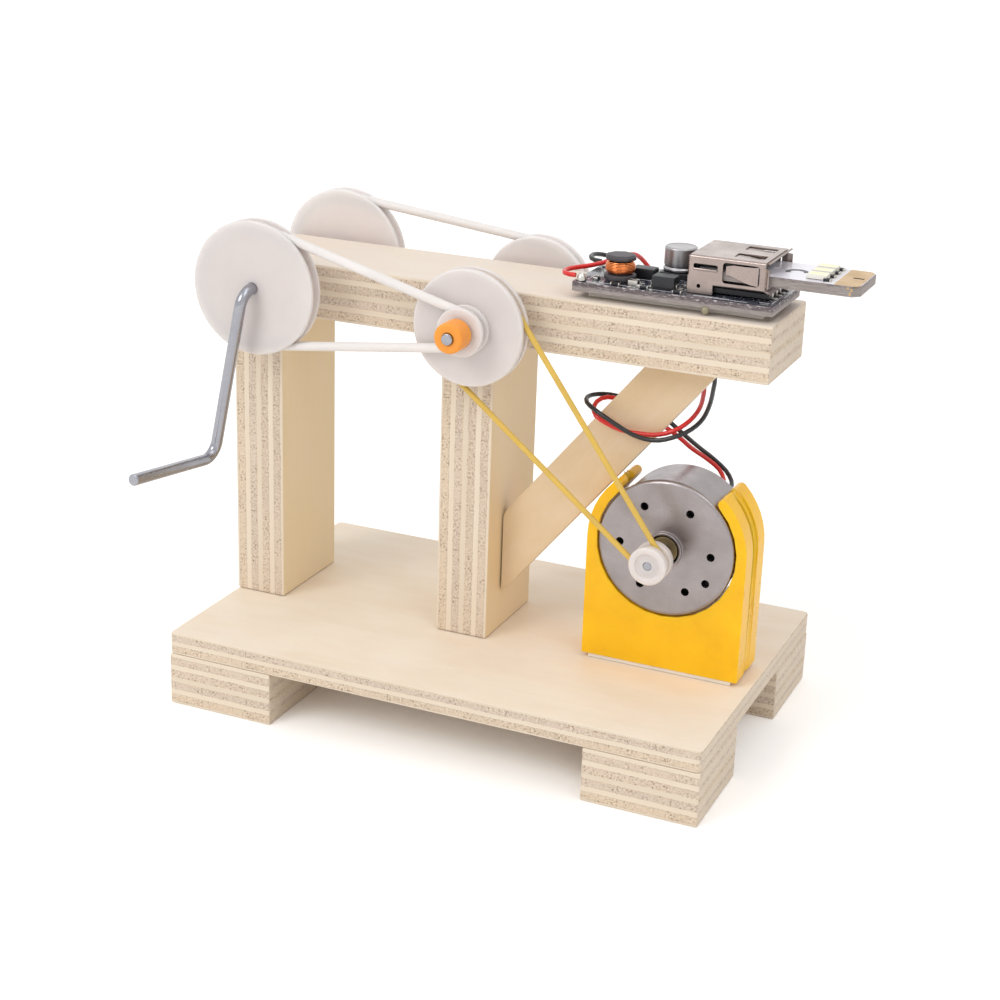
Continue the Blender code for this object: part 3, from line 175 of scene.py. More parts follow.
class Shading:
    """Short ways to add shader nodes to one tree and to join them."""

    def __init__(self, tree):
        self.tree = tree

    def feed(self, socket, value):
        if isinstance(value, bpy.types.NodeSocket):
            self.tree.links.new(value, socket)
        else:
            socket.default_value = value

    def add(self, kind, inputs=(), **settings):
        node = self.tree.nodes.new(kind)
        for name, value in settings.items():
            setattr(node, name, value)
        for name, value in dict(inputs).items():
            self.feed(node.inputs[name], value)
        return node

    def math(self, operation, *values):
        node = self.add("ShaderNodeMath", operation=operation)
        for socket, value in zip(node.inputs, values):
            self.feed(socket, value)
        return node.outputs[0]

    def plus(self, first, second):
        return self.math("ADD", first, second)

    def minus(self, first, second):
        return self.math("SUBTRACT", first, second)

    def times(self, first, second):
        return self.math("MULTIPLY", first, second)

    def vector(self, operation, *values):
        node = self.add("ShaderNodeVectorMath", operation=operation)
        for socket, value in zip(node.inputs, values):
            self.feed(socket, value)
        return node.outputs["Value" if operation == "LENGTH" else "Vector"]

    def split(self, place):
        return self.add("ShaderNodeSeparateXYZ", {"Vector": place}).outputs[:3]

    def joined(self, x, y, z):
        return self.add("ShaderNodeCombineXYZ", {"X": x, "Y": y, "Z": z}).outputs[0]

    def noise(self, place, scale, detail=2.0, roughness=0.5):
        """Noise whose features are about one over scale wide; scale may differ by axis."""
        if isinstance(scale, tuple):
            place, scale = self.vector("MULTIPLY", place, scale), 1.0
        return self.add("ShaderNodeTexNoise", {"Vector": place, "Scale": scale, "Detail": detail,
                                               "Roughness": roughness}).outputs["Fac"]

    def span(self, value, low, high, to_low=0.0, to_high=1.0):
        return self.add("ShaderNodeMapRange", {"Value": value, "From Min": low, "From Max": high,
                                               "To Min": to_low, "To Max": to_high}).outputs[0]

    def sway(self, noise, low, high):
        """Noise spread from low to high, over the range that it mostly has."""
        return self.span(noise, 0.3, 0.7, low, high)

    def mix(self, share, first, second, blend="MIX"):
        node = self.add("ShaderNodeMix", data_type="RGBA", blend_type=blend)
        for index, value in ((0, share), (6, first), (7, second)):
            self.feed(node.inputs[index], value)
        return node.outputs[2]

    def between(self, share, first, second):
        """A number that goes from the first to the second as share goes from 0 to 1."""
        node = self.add("ShaderNodeMix", data_type="FLOAT")
        for index, value in ((0, share), (2, first), (3, second)):
            self.feed(node.inputs[index], value)
        return node.outputs[0]

    def shade(self, first, factor):
        """A colour made lighter or darker by a factor that changes over the surface."""
        return self.mix(1.0, first, self.joined(factor, factor, factor), "MULTIPLY")


def shader_group(name, inputs, outputs):
    """An empty node group with named sockets, and what to build it with."""
    kinds = {"value": "NodeSocketFloat", "vector": "NodeSocketVector", "colour": "NodeSocketColor"}
    tree = bpy.data.node_groups.new(name, "ShaderNodeTree")
    for way, sockets in (("INPUT", inputs), ("OUTPUT", outputs)):
        for label, kind in sockets.items():
            tree.interface.new_socket(label, in_out=way, socket_type=kinds[kind])
    shading = Shading(tree)
    return shading, shading.add("NodeGroupInput").outputs, shading.add("NodeGroupOutput").inputs


SURFACE = {"Color": "colour", "Roughness": "value", "Height": "value"}


def plywood_layers():
    """Plies with crossed grain.  Place has Z up the stack and X along the outer grain."""
    s, given, out = shader_group("plywood_layers", {
        "Place": "vector", "Facing": "vector", "Thickness": "value", "Layers": "value",
        "Veneer": "colour", "End Grain": "colour"}, SURFACE)
    here = given["Place"]
    x, y, z = s.split(here)
    wave = s.noise(here, (45.0, 45.0, 8.0), 3.0)
    ragged = s.noise(here, 2300.0, 2.0, 0.6)
    z = s.plus(z, s.plus(s.sway(wave, -0.0001, 0.0001), s.sway(ragged, -0.00007, 0.00007)))
    level = s.math("MULTIPLY_ADD", s.math("DIVIDE", z, given["Thickness"]),
                   s.minus(given["Layers"], 1.0), 0.5)
    layer = s.math("FLOOR", level)
    swing = s.math("COSINE", s.times(s.minus(level, 0.5), pi))
    crossed = s.span(swing, 0.6, 0.22)
    along = s.mix(s.math("GREATER_THAN", crossed, 0.5), s.joined(x, y, z), s.joined(y, x, z))
    apart = s.vector("ADD", along, s.joined(layer, s.times(layer, 0.37), 0.0))
    fibres = s.noise(apart, (70.0, 2600.0, 2600.0), 3.0, 0.6)
    bands = s.noise(apart, (22.0, 260.0, 260.0), 3.0, 0.55)
    mottle = s.noise(here, (70.0, 160.0, 160.0), 4.0, 0.6)
    patches = s.noise(apart, (60.0, 110.0, 420.0), 2.0)
    fx, fy, fz = s.split(s.vector("ABSOLUTE", given["Facing"]))
    ends = s.span(s.between(crossed, fx, fy), 0.45, 0.85)
    sides = s.span(fz, 0.85, 0.55)
    tone = s.add("ShaderNodeTexWhiteNoise", {"W": layer}, noise_dimensions="1D").outputs["Value"]
    # Long grain: fine fibres, wide bands, a mottle, and each layer's own tone on the sides
    face = s.shade(s.mix(sides, given["Veneer"], srgb(238, 223, 202)),
                   s.plus(s.span(fibres, 0.25, 0.75, -0.016, 0.016), s.sway(bands, 0.985, 1.01)))
    face = s.mix(s.span(mottle, 0.4, 0.75, 0.0, 0.5), face, srgb(234, 213, 188))
    face = s.shade(face, s.between(sides, 1.0, s.span(tone, 0.0, 1.0, 0.9, 0.97)))
    # Cut ends: open pores in clumps between pale specks
    end = s.mix(s.times(tone, 0.7), given["End Grain"], srgb(214, 198, 186))
    end = s.shade(end, s.sway(patches, 0.93, 1.05))
    clumps = s.span(s.noise(here, 520.0), 0.38, 0.6, 0.15, 1.0)
    pores = s.noise(here, 2500.0, 2.0, 0.7)
    open_pores = s.times(s.span(pores, 0.53, 0.63), clumps)
    end = s.mix(s.times(open_pores, 0.75), end, srgb(140, 112, 88))
    end = s.mix(s.span(pores, 0.44, 0.34, 0.0, 0.6), end, srgb(243, 231, 210))
    seam = s.math("ABSOLUTE", s.minus(s.math("FRACT", level), 0.5))
    seam = s.times(s.times(s.span(seam, 0.4, 0.5), sides), s.span(bands, 0.35, 0.6, 0.0, 0.3))
    layered = s.mix(seam, s.mix(ends, face, end), srgb(190, 158, 126))
    # Faces across the grain: the layers blended quieter, and darker by 0.92 as painted shade
    quiet_end_painted_shade = s.shade(s.mix(0.6, face, end), 0.92)
    s.feed(out["Color"], s.mix(s.span(fx, 0.6, 0.9, 0.0, 0.6), layered, quiet_end_painted_shade))
    s.feed(out["Roughness"], s.between(ends, s.span(fibres, 0.2, 0.8, 0.52, 0.66), 0.82))
    rough_end = s.plus(s.times(open_pores, -0.9), s.times(s.noise(here, 2400.0, 3.0), 0.6))
    s.feed(out["Height"], s.between(ends, s.times(fibres, 0.3), rough_end))
    return s.tree


def moulded_plastic():
    """Moulded plastic: faint clouding, fine scuffs and specks of dust."""
    s, given, out = shader_group("moulded_plastic", {
        "Place": "vector", "Color": "colour", "Gloss": "value", "Clouding": "value"}, SURFACE)
    here = given["Place"]
    cloud = s.noise(here, 140.0, 4.0, 0.55)
    scuffs = s.span(s.noise(here, (420.0, 5200.0, 700.0), 3.0, 0.65), 0.62, 0.76)
    specks = s.span(s.noise(here, 3900.0, 1.0), 0.74, 0.78)
    shade = s.math("MULTIPLY_ADD", s.sway(cloud, -1.0, 1.0), given["Clouding"], 1.0)
    tint = s.shade(given["Color"], shade)
    s.feed(out["Color"], s.mix(s.times(specks, 0.25), tint, srgb(196, 182, 164)))
    worn = s.math("MULTIPLY_ADD", scuffs, 0.12, s.sway(cloud, -0.05, 0.07))
    s.feed(out["Roughness"], s.plus(given["Gloss"], worn))
    s.feed(out["Height"], s.math("MULTIPLY_ADD", s.noise(here, 2600.0), 0.35,
                                 s.times(scuffs, -0.5)))
    return s.tree


def worn_metal():
    """Plated or drawn metal: smudges, fine scratches along X and small pits."""
    s, given, out = shader_group("worn_metal", {
        "Place": "vector", "Color": "colour", "Polish": "value", "Wear": "value"}, SURFACE)
    here = given["Place"]
    smudge = s.noise(here, 210.0, 4.0, 0.6)
    streak = s.noise(here, (160.0, 6400.0, 6400.0), 3.0, 0.6)
    pits = s.span(s.noise(here, 3100.0), 0.66, 0.74)
    worn = s.times(s.span(smudge, 0.35, 0.7), given["Wear"])
    tint = s.shade(given["Color"], s.plus(s.span(streak, 0.25, 0.75, -0.05, 0.05),
                                          s.math("MULTIPLY_ADD", worn, -0.3, 1.02)))
    s.feed(out["Color"], s.mix(s.times(pits, given["Wear"]), tint, srgb(92, 84, 78)))
    rough = s.math("MULTIPLY_ADD", worn, 0.3, s.sway(streak, -0.05, 0.06))
    s.feed(out["Roughness"], s.plus(given["Polish"], rough))
    s.feed(out["Height"], s.math("MULTIPLY_ADD", streak, 0.5, s.times(pits, -0.6)))
    return s.tree


def turned_rings():
    """Fine rings that a cutter or a mould leaves round an axis along Y."""
    s, given, out = shader_group("turned_rings", {"Place": "vector", "Pitch": "value"},
                                 {"Rings": "value"})
    x, y, z = s.split(given["Place"])
    step = s.math("DIVIDE", s.vector("LENGTH", s.joined(x, 0.0, z)), given["Pitch"])
    s.feed(out["Rings"], s.noise(s.joined(step, s.times(y, 3000.0), 0.0), 1.0))
    return s.tree


def board_laminate():
    """The sawn edge of a glass fibre board.  Place has Z up from the board's underside."""
    s, given, out = shader_group("board_laminate", {
        "Place": "vector", "Color": "colour", "Thickness": "value"}, SURFACE)
    here = given["Place"]
    rise = s.math("DIVIDE", s.split(here)[2], given["Thickness"])
    layers = s.noise(here, (90.0, 90.0, 5200.0))
    strands = s.noise(here, (520.0, 520.0, 4200.0), 3.0, 0.7)
    ragged = s.plus(rise, s.sway(strands, -0.22, 0.22))
    tint = s.shade(given["Color"], s.plus(s.sway(layers, 0.8, 1.1), s.sway(strands, -0.26, 0.24)))
    tint = s.mix(s.span(ragged, 0.42, 0.6, 0.0, 0.85), tint, srgb(84, 73, 78))
    glints = s.span(s.noise(here, (900.0, 900.0, 3600.0), 2.0, 0.6), 0.55, 0.62)
    glints = s.times(glints, s.span(ragged, 0.45, 0.75))
    s.feed(out["Color"], s.mix(s.times(glints, 0.75), tint, srgb(212, 204, 204)))
    s.feed(out["Roughness"], s.sway(strands, 0.45, 0.75))
    s.feed(out["Height"], s.plus(strands, s.times(glints, 0.5)))
    return s.tree


def printed_board():
    """Dark lacquer with raised tracks under it and bare tinned spots."""
    s, given, out = shader_group("printed_board", {
        "Place": "vector", "Color": "colour", "Tin": "colour"}, SURFACE)
    here = given["Place"]
    x, y, z = s.split(here)
    fields = s.noise(here, 330.0, 1.0)

    def tracks(run, pitch, low, high):
        line = s.minus(s.math("FRACT", s.math("DIVIDE", run, pitch)), 0.5)
        return s.times(s.span(s.math("ABSOLUTE", line), 0.17, 0.12), s.span(fields, low, high))

    raised = s.math("MAXIMUM", tracks(s.minus(x, y), 0.00105, 0.5, 0.52),
                    tracks(x, 0.0008, 0.44, 0.42))
    cells = s.add("ShaderNodeTexVoronoi", {"Vector": here, "Scale": 1150.0}).outputs
    present = s.math("GREATER_THAN", s.split(cells["Color"])[0], 0.62)
    spots = s.times(s.span(cells["Distance"], 0.24, 0.16), present)
    tint = s.mix(s.times(raised, 0.55), given["Color"], srgb(126, 128, 140))
    s.feed(out["Color"], s.mix(spots, tint, given["Tin"]))
    s.feed(out["Roughness"], s.sway(s.noise(here, 700.0), 0.2, 0.34))
    s.feed(out["Height"], s.math("MAXIMUM", raised, spots))
    return s.tree


def effect(s, builder, **values):
    """Place a shared effect in a material, with the material's own values."""
    name = builder.__name__
    tree = bpy.data.node_groups.get(name) or builder()
    node = s.add("ShaderNodeGroup", node_tree=tree)
    for label, value in values.items():
        s.feed(node.inputs[label.replace("_", " ")], value)
    return node.outputs


def own_place(s, kind="Object", corner=(0.0, 0.0, 0.0), axes=None):
    """The surface's place or facing, from a piece's own corner and along its own axes."""
    turn = axes.to_euler() if axes else (0.0, 0.0, 0.0)
    source = s.add("ShaderNodeTexCoord").outputs[kind]
    return s.add("ShaderNodeMapping", {"Vector": source, "Location": corner, "Rotation": turn},
                 vector_type="TEXTURE").outputs[0]


def finish(name, builder, values, bump=0.00001, corner=(0.0, 0.0, 0.0), rings=None, facing=False,
           axes=None, **shader_values):
    """A material made of one shared effect, its bump and the shader's plain values."""
    if name in bpy.data.materials:
        return bpy.data.materials[name]
    material = bpy.data.materials.new(name)
    material.use_nodes = True
    s = Shading(material.node_tree)
    shader = material.node_tree.nodes["Principled BSDF"]
    place_in = own_place(s, "Object", corner, axes)
    if facing:
        values = dict(values, Facing=own_place(s, "Normal", axes=axes))
    given = effect(s, builder, Place=place_in, **values)
    height = given["Height"]
    if rings:
        turned = effect(s, turned_rings, Place=place_in, Pitch=rings)
        height = s.plus(height, turned["Rings"])
    s.feed(shader.inputs["Base Color"], given["Color"])
    s.feed(shader.inputs["Roughness"], given["Roughness"])
    normal = s.add("ShaderNodeBump", {"Height": height, "Distance": bump, "Strength": 1.0})
    s.feed(shader.inputs["Normal"], normal.outputs[0])
    for label, value in shader_values.items():
        shader.inputs[label.replace("_", " ")].default_value = value
    return material


def plastic(name, tint, gloss=0.38, clouding=0.03, **more):
    return finish(name, moulded_plastic, {"Color": tint, "Gloss": gloss, "Clouding": clouding},
                  **more)


def metal(name, tint, polish=0.25, wear=0.3, **more):
    return finish(name, worn_metal, {"Color": tint, "Polish": polish, "Wear": wear}, Metallic=1.0,
                  **more)


def tinned():
    return metal("tinned_parts", srgb(206, 202, 196))


def black_moulding():
    return plastic("black_moulding", srgb(30, 30, 34), 0.42, 0.08)


def chip_body():
    return plastic("chip_body", srgb(27, 28, 33), 0.4, 0.1)


def white_ink():
    return plastic("white_ink", srgb(226, 224, 226), 0.6, 0.06)


MILKY_REACH = (1.0, 0.92, 0.88)
# Painted light: how much lighter the back pulleys' copy of the plastic is
BACK_PAINTED_LIGHT = 1.12
AMBER_REACH = (1.0, 0.6, 0.22)


def milky(node, centre):
    """Milky plastic with its moulding rings centred on one pulley."""
    tint = bpy.context.scene.generator_drive.milky
    # Painted light: the back pulleys get a lighter copy of the same plastic
    if node.endswith("_back"):
        tint = [min(shade * BACK_PAINTED_LIGHT, 1.0) for shade in tint]
    return plastic(f"milky_{node}", tint, 0.36, 0.025, corner=centre, rings=0.00042,
                   bump=0.000012, Subsurface_Weight=0.7, Subsurface_Scale=0.0026,
                   Subsurface_Radius=MILKY_REACH, Coat_Weight=0.15, Coat_Roughness=0.2)


def birch(node, layers, stack=(0, 0, 1), grain=(1, 0, 0), warmth=(1.0, 1.0, 1.0, 1.0)):
    """Plywood whose layers lie across stack, the outer ones with their fibres along grain."""
    wood, box = bpy.context.scene.generator_wood, Box(node)
    veneer = [shade * warm for shade, warm in zip(wood.veneer, warmth)]
    stack, grain = Vector(stack), Vector(grain)
    axes = Matrix((grain, stack.cross(grain), stack)).transposed()
    return finish(f"birch_{node}", plywood_layers,
                  {"Thickness": (box.high - box.low).dot(stack), "Layers": float(layers),
                   "Veneer": veneer, "End_Grain": wood.end_grain},
                  bump=0.00005, corner=box.low, facing=True, axes=axes, Specular_IOR_Level=0.35)


# Shapes

def piece(bm, name, finishes, node=None, slot=None, body="stand", smooth=32):
    """Make an object of a bmesh, shade it, and join it to the frame."""
    mesh = bpy.data.meshes.new(name)
    bm.to_mesh(mesh)
    bm.free()
    for material in finishes if isinstance(finishes, list) else [finishes]:
        mesh.materials.append(material)
    mesh.shade_smooth()
    mesh.set_sharp_from_angle(angle=radians(smooth))
    item = bpy.data.objects.new(name, mesh)
    item.modifiers.new("even_normals", "WEIGHTED_NORMAL").keep_sharp = True
    bpy.context.scene.collection.objects.link(item)
    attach(item, body)
    if node:
        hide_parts(node)


def coloured(faces, index):
    for face in faces:
        face.material_index = index


def rounded(bm, edges, offset, segments=2):
    bmesh.ops.bevel(bm, geom=list(edges), offset=offset, segments=segments, profile=0.5,
                    affect="EDGES", material=-1, clamp_overlap=True)


def block(low, high, edge=0.0, segments=2, upright=0.0, bm=None, index=0):
    """A box between two corners, with its upright edges rounded first if asked."""
    bm = bmesh.new() if bm is None else bm
    old = set(bm.faces)
    low, high = Vector(low), Vector(high)
    verts = bmesh.ops.create_cube(bm, size=1.0)["verts"]
    bmesh.ops.scale(bm, vec=high - low, verts=verts)
    bmesh.ops.translate(bm, vec=(low + high) / 2, verts=verts)
    if upright:
        edges = {line for vert in verts for line in vert.link_edges}
        rounded(bm, [line for line in edges
                     if abs(line.verts[0].co.z - line.verts[1].co.z) > (high.z - low.z) / 2],
                upright, 4)
    if edge:
        edges = {line for face in bm.faces if face not in old for line in face.edges
                 if line.calc_face_angle(0.0) > radians(40)}
        rounded(bm, edges, edge, segments)
    coloured([face for face in bm.faces if face not in old], index)
    return bm


def turned(outline, centre, steps=96, axis="Y", bm=None):
    """Spin an outline of (radius, along, rounding) points a full turn about an axis.

    An outline that starts and ends on the axis stays open, and any other one closes.
    """
    bm = bmesh.new() if bm is None else bm
    own = bmesh.new()
    open_ends = outline[0][0] == 0 and outline[-1][0] == 0
    verts = [own.verts.new((point[0], point[1], 0)) for point in outline]
    for pair in list(zip(verts, verts[1:])) + ([] if open_ends else [(verts[-1], verts[0])]):
        own.edges.new(pair)
    for vert, point in zip(verts, outline):
        if len(point) > 2 and point[2]:
            bmesh.ops.bevel(own, geom=[vert], offset=point[2], segments=4, profile=0.5,
                            affect="VERTICES", material=-1)
    bmesh.ops.spin(own, geom=own.verts[:] + own.edges[:], cent=(0, 0, 0), axis=(0, 1, 0),
                   angle=2 * pi, steps=steps, use_merge=True, use_duplicate=False)
    bmesh.ops.remove_doubles(own, verts=own.verts[:], dist=1e-7)
    bmesh.ops.recalc_face_normals(own, faces=own.faces[:])
    if axis == "Z":
        bmesh.ops.rotate(own, verts=own.verts[:], cent=(0, 0, 0),
                         matrix=Matrix.Rotation(pi / 2, 3, "X"))
    bmesh.ops.translate(own, verts=own.verts[:], vec=centre)
    join(bm, own)
    return bm


def join(bm, other):
    """Put another bmesh into this one."""
    mesh = bpy.data.meshes.new("joining")
    other.to_mesh(mesh)
    other.free()
    bm.from_mesh(mesh)
    bpy.data.meshes.remove(mesh)


def carved(bm, cutters, operation="DIFFERENCE"):
    """The shape with another one cut out of it, or joined to it."""
    items = []
    for shape in (bm, cutters):
        bmesh.ops.recalc_face_normals(shape, faces=shape.faces[:])
        mesh = bpy.data.meshes.new("carving")
        shape.to_mesh(mesh)
        shape.free()
        items.append(bpy.data.objects.new("carving", mesh))
        bpy.context.scene.collection.objects.link(items[-1])
    modifier = items[0].modifiers.new("carving", "BOOLEAN")
    modifier.operation = operation
    modifier.object = items[1]
    bpy.context.view_layer.update()
    result = bmesh.new()
    result.from_object(items[0], bpy.context.evaluated_depsgraph_get())
    for item in items:
        mesh = item.data
        bpy.data.objects.remove(item)
        bpy.data.meshes.remove(mesh)
    return whole_faces(result)


def whole_faces(bm):
    bmesh.ops.dissolve_limit(bm, angle_limit=FLAT, verts=bm.verts[:], edges=bm.edges[:])
    return bm


def peg(centre, radius, front, back, steps=32):
    """A round peg along Y, to cut a bore with."""
    return turned([(0, front), (radius, front), (radius, back), (0, back)],
                  (centre[0], 0, centre[2]), steps)


def copied(node):
    """A merged copy of a CAD node's mesh, its flat faces whole again."""
    bm = bmesh.new()
    bm.from_mesh(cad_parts[node].data)
    bmesh.ops.remove_doubles(bm, verts=bm.verts[:], dist=1e-6)
    return whole_faces(bm)


def softened(bm, offset, angle=40, segments=2):
    """Round every edge that is sharper than an angle."""
    rounded(bm, [line for line in bm.edges if line.calc_face_angle(0.0) > radians(angle)],
            offset, segments)
    return bm


def edges_of(parts):
    return [part for part in parts if isinstance(part, bmesh.types.BMEdge)]


def bar(points, radius, bend, sides=32, loop=None):
    """A round bar along straight runs with round bends: a circle, extruded and spun.

    loop gives the wheels of a closed belt instead, each (centre, sweep) after a run.
    """
    bm = bmesh.new()
    start = Vector(points[0])
    ahead = (Vector(points[1]) - start).normalized()
    turn = ahead.to_track_quat("Z", "Y").to_matrix().to_4x4()
    made = bmesh.ops.create_circle(bm, cap_ends=False, segments=sides, radius=radius,
                                   matrix=Matrix.Translation(start) @ turn)["verts"]
    first = list({line for vert in made for line in vert.link_edges})
    ring, here = first, start

    def run_to(spot):
        nonlocal ring, here
        grown = bmesh.ops.extrude_edge_only(bm, edges=ring)["geom"]
        bmesh.ops.translate(bm, vec=spot - here,
                            verts=[part for part in grown if isinstance(part, bmesh.types.BMVert)])
        ring, here = edges_of(grown), spot

    def swing(centre, axis, angle):
        nonlocal ring, here
        steps = max(3, round(angle / radians(7)))
        ring = edges_of(bmesh.ops.spin(bm, geom=ring, cent=centre, axis=axis, angle=angle,
                                       steps=steps, use_merge=False,
                                       use_duplicate=False)["geom_last"])
        here = centre + Matrix.Rotation(angle, 3, axis) @ (here - centre)

    if loop:
        for spot, (centre, sweep) in zip(points[1::2], loop):
            run_to(Vector(spot))
            swing(Vector(centre), Vector((0, -1, 0)), sweep)
    else:
        for corner, after in zip(points[1:], points[2:]):
            corner = Vector(corner)
            onward = (Vector(after) - corner).normalized()
            angle = ahead.angle(onward)
            run_to(corner - ahead * bend * tan(angle / 2))
            side = (onward - ahead * ahead.dot(onward)).normalized()
            swing(here + side * bend, ahead.cross(onward).normalized(), angle)
            ahead = onward
        run_to(Vector(points[-1]))
        for end in (first, ring):
            bmesh.ops.contextual_create(bm, geom=end)
    bmesh.ops.remove_doubles(bm, verts=bm.verts[:], dist=2e-6)
    bmesh.ops.recalc_face_normals(bm, faces=bm.faces[:])
    return bm


def belt(y, near, far, radius):
    """A taut round belt about two wheels; near and far are (x, z, wrapped radius)."""
    run = Vector((far[0] - near[0], 0, far[1] - near[1]))
    heading = atan2(run.z, run.x)
    half = acos((near[2] - far[2]) / run.length)
    centres = [Vector((wheel[0], y, wheel[1])) for wheel in (near, far)]

    def rim_spot(which, angle):
        return centres[which] + Vector((cos(angle), 0, sin(angle))) * (near, far)[which][2]

    points = [rim_spot(which, heading + side * half)
              for which, side in ((0, -1), (1, -1), (1, 1), (0, 1))]
    return bar(points, radius, 0.0, 20, [(centres[1], 2 * half), (centres[0], 2 * (pi - half))])


class Builder:
    """Runs an operator's build on the scene, and says that it is finished."""

    def execute(self, context):
        self.build(context.scene)
        return {"FINISHED"}


# Pieces

class GENERATOR_OT_wood(Builder, Operator):
    """Model the plywood base, feet, posts, beam and brace"""
    bl_idname = "generator.wood"
    bl_label = "Plywood frame"

    def build(self, scene):
        wood, thick = scene.generator_wood, scene.generator_wood.beam_layers
        box = Box("base_board")
        self.add("base_board", block(box.low, box.high, wood.edge, 2, wood.base_corner),
                 wood.base_layers)
        for node in ("foot_front_left", "foot_front_right", "foot_back_left", "foot_back_right"):
            box = Box(node)
            self.add(node, block(box.low, box.high + JOINT, wood.edge), thick)
        for node in ("post_left", "post_right"):
            box = Box(node)
            self.add(node, block(box.low - JOINT, box.high + JOINT, wood.edge), thick,
                     (1, 0, 0), (0, 0, 1), POST_WARMTH)
        box = Box("top_beam")
        bm = block(box.low, box.high, wood.edge)
        for wheel in ("crank_pulley_front", "mid_pulley_front"):
            bm = carved(bm, peg(Box(wheel).middle, scene.generator_drive.rod + GAP,
                                box.low.y - 0.002, box.high.y + 0.002))
        self.add("top_beam", bm, thick, warmth=BEAM_WARMTH)
        run = (cos(BRACE_SLOPE), 0, sin(BRACE_SLOPE))
        self.add("diagonal_brace", softened(copied("diagonal_brace"), wood.edge * 0.8, 30),
                 BRACE_LAYERS, (0, 1, 0), run, BRACE_WARMTH)

    def add(self, node, bm, layers, *grain, **more):
        piece(bm, f"{node}_birch", birch(node, layers, *grain, **more), node, "birch_plywood")


JOINT = Vector((0, 0, 0.00024))
POST_WARMTH = (0.93, 0.86, 0.68, 1.0)
BRACE_WARMTH = (0.82, 0.7, 0.52, 1.0)
BEAM_WARMTH = (0.9, 0.9, 0.94, 1.0)
BRACE_LAYERS = 3
BRACE_SLOPE = radians(51)
CRANK_ARM = 0.0313
CRANK_LEAN = radians(11.5)
CRANK_ARM_Y = 10.0
HANDLE_LENGTH = 0.0241
HANDLE_RISE = radians(7)
HANDLE_TURN = radians(1.9)
ROD_END = 0.00022


class GENERATOR_OT_rods(Builder, Operator):
    """Model the bent crank rod, the middle shaft and the motor's shaft"""
    bl_idname = "generator.rods"
    bl_label = "Crank rod and shafts"

    def build(self, scene):
        drive = scene.generator_drive
        steel = metal("drawn_steel", drive.steel, 0.2, 0.25, bump=0.000004)
        axis = Box("crank_pulley_front").middle
        top = Vector((axis.x, place(0, CRANK_ARM_Y, 0).y, axis.z))
        back = Vector((axis.x, Box("crank_rod").high.y, axis.z))
        low = top + Vector((-sin(CRANK_LEAN), 0, -cos(CRANK_LEAN))) * CRANK_ARM
        level = cos(HANDLE_RISE)
        handle = low + Vector((-sin(HANDLE_TURN) * level, -cos(HANDLE_TURN) * level,
                               sin(HANDLE_RISE))) * HANDLE_LENGTH
        bm = bar([back, top, low, handle], drive.rod, drive.bend)
        rims = [line for line in bm.edges if line.calc_face_angle(0.0) > radians(60)]
        rounded(bm, rims, ROD_END, 3)
        piece(bm, "crank_rod_steel", steel, "crank_rod", "bright_steel", "crank")
        for node, body in (("mid_shaft", "mid"), ("motor_shaft", "rotor")):
            box = Box(node)
            bm = turned([(0, box.low.y), (box.radius, box.low.y, ROD_END),
                         (box.radius, box.high.y, ROD_END), (0, box.high.y)], box.axis, 48)
            piece(bm, f"{node}_steel", steel, node, "bright_steel", body)


PULLEY_STEP = 0.0032
GROOVE_DEPTH = {"crank": 0.0095, "mid_small": 0.0020, "mid_large": 0.0082, "mid_back": 0.0079,
                "motor": 0.0016}
RIM_ROUND = 0.00035
SEAT = 0.00012
BORE_ROUND = 0.0001
MID_SMALL = 0.0042
MOTOR_SHAFT = 0.00075
MOTOR_RECESS = 0.00025


def rim(radius, groove, front, back, belt):
    """The outline of one step of a pulley, front to back: rim, round groove, rim."""
    centre, half, groove = (front + back) / 2, belt / 2 + SEAT, GROOVE_DEPTH[groove]
    bed = [(groove + half - half * sin(pi * i / 10), centre - half * cos(pi * i / 10))
           for i in range(1, 10)]
    return [(radius, front, RIM_ROUND), (radius, centre - half, RIM_ROUND / 3), *bed,
            (radius, centre + half, RIM_ROUND / 3), (radius, back, RIM_ROUND)]


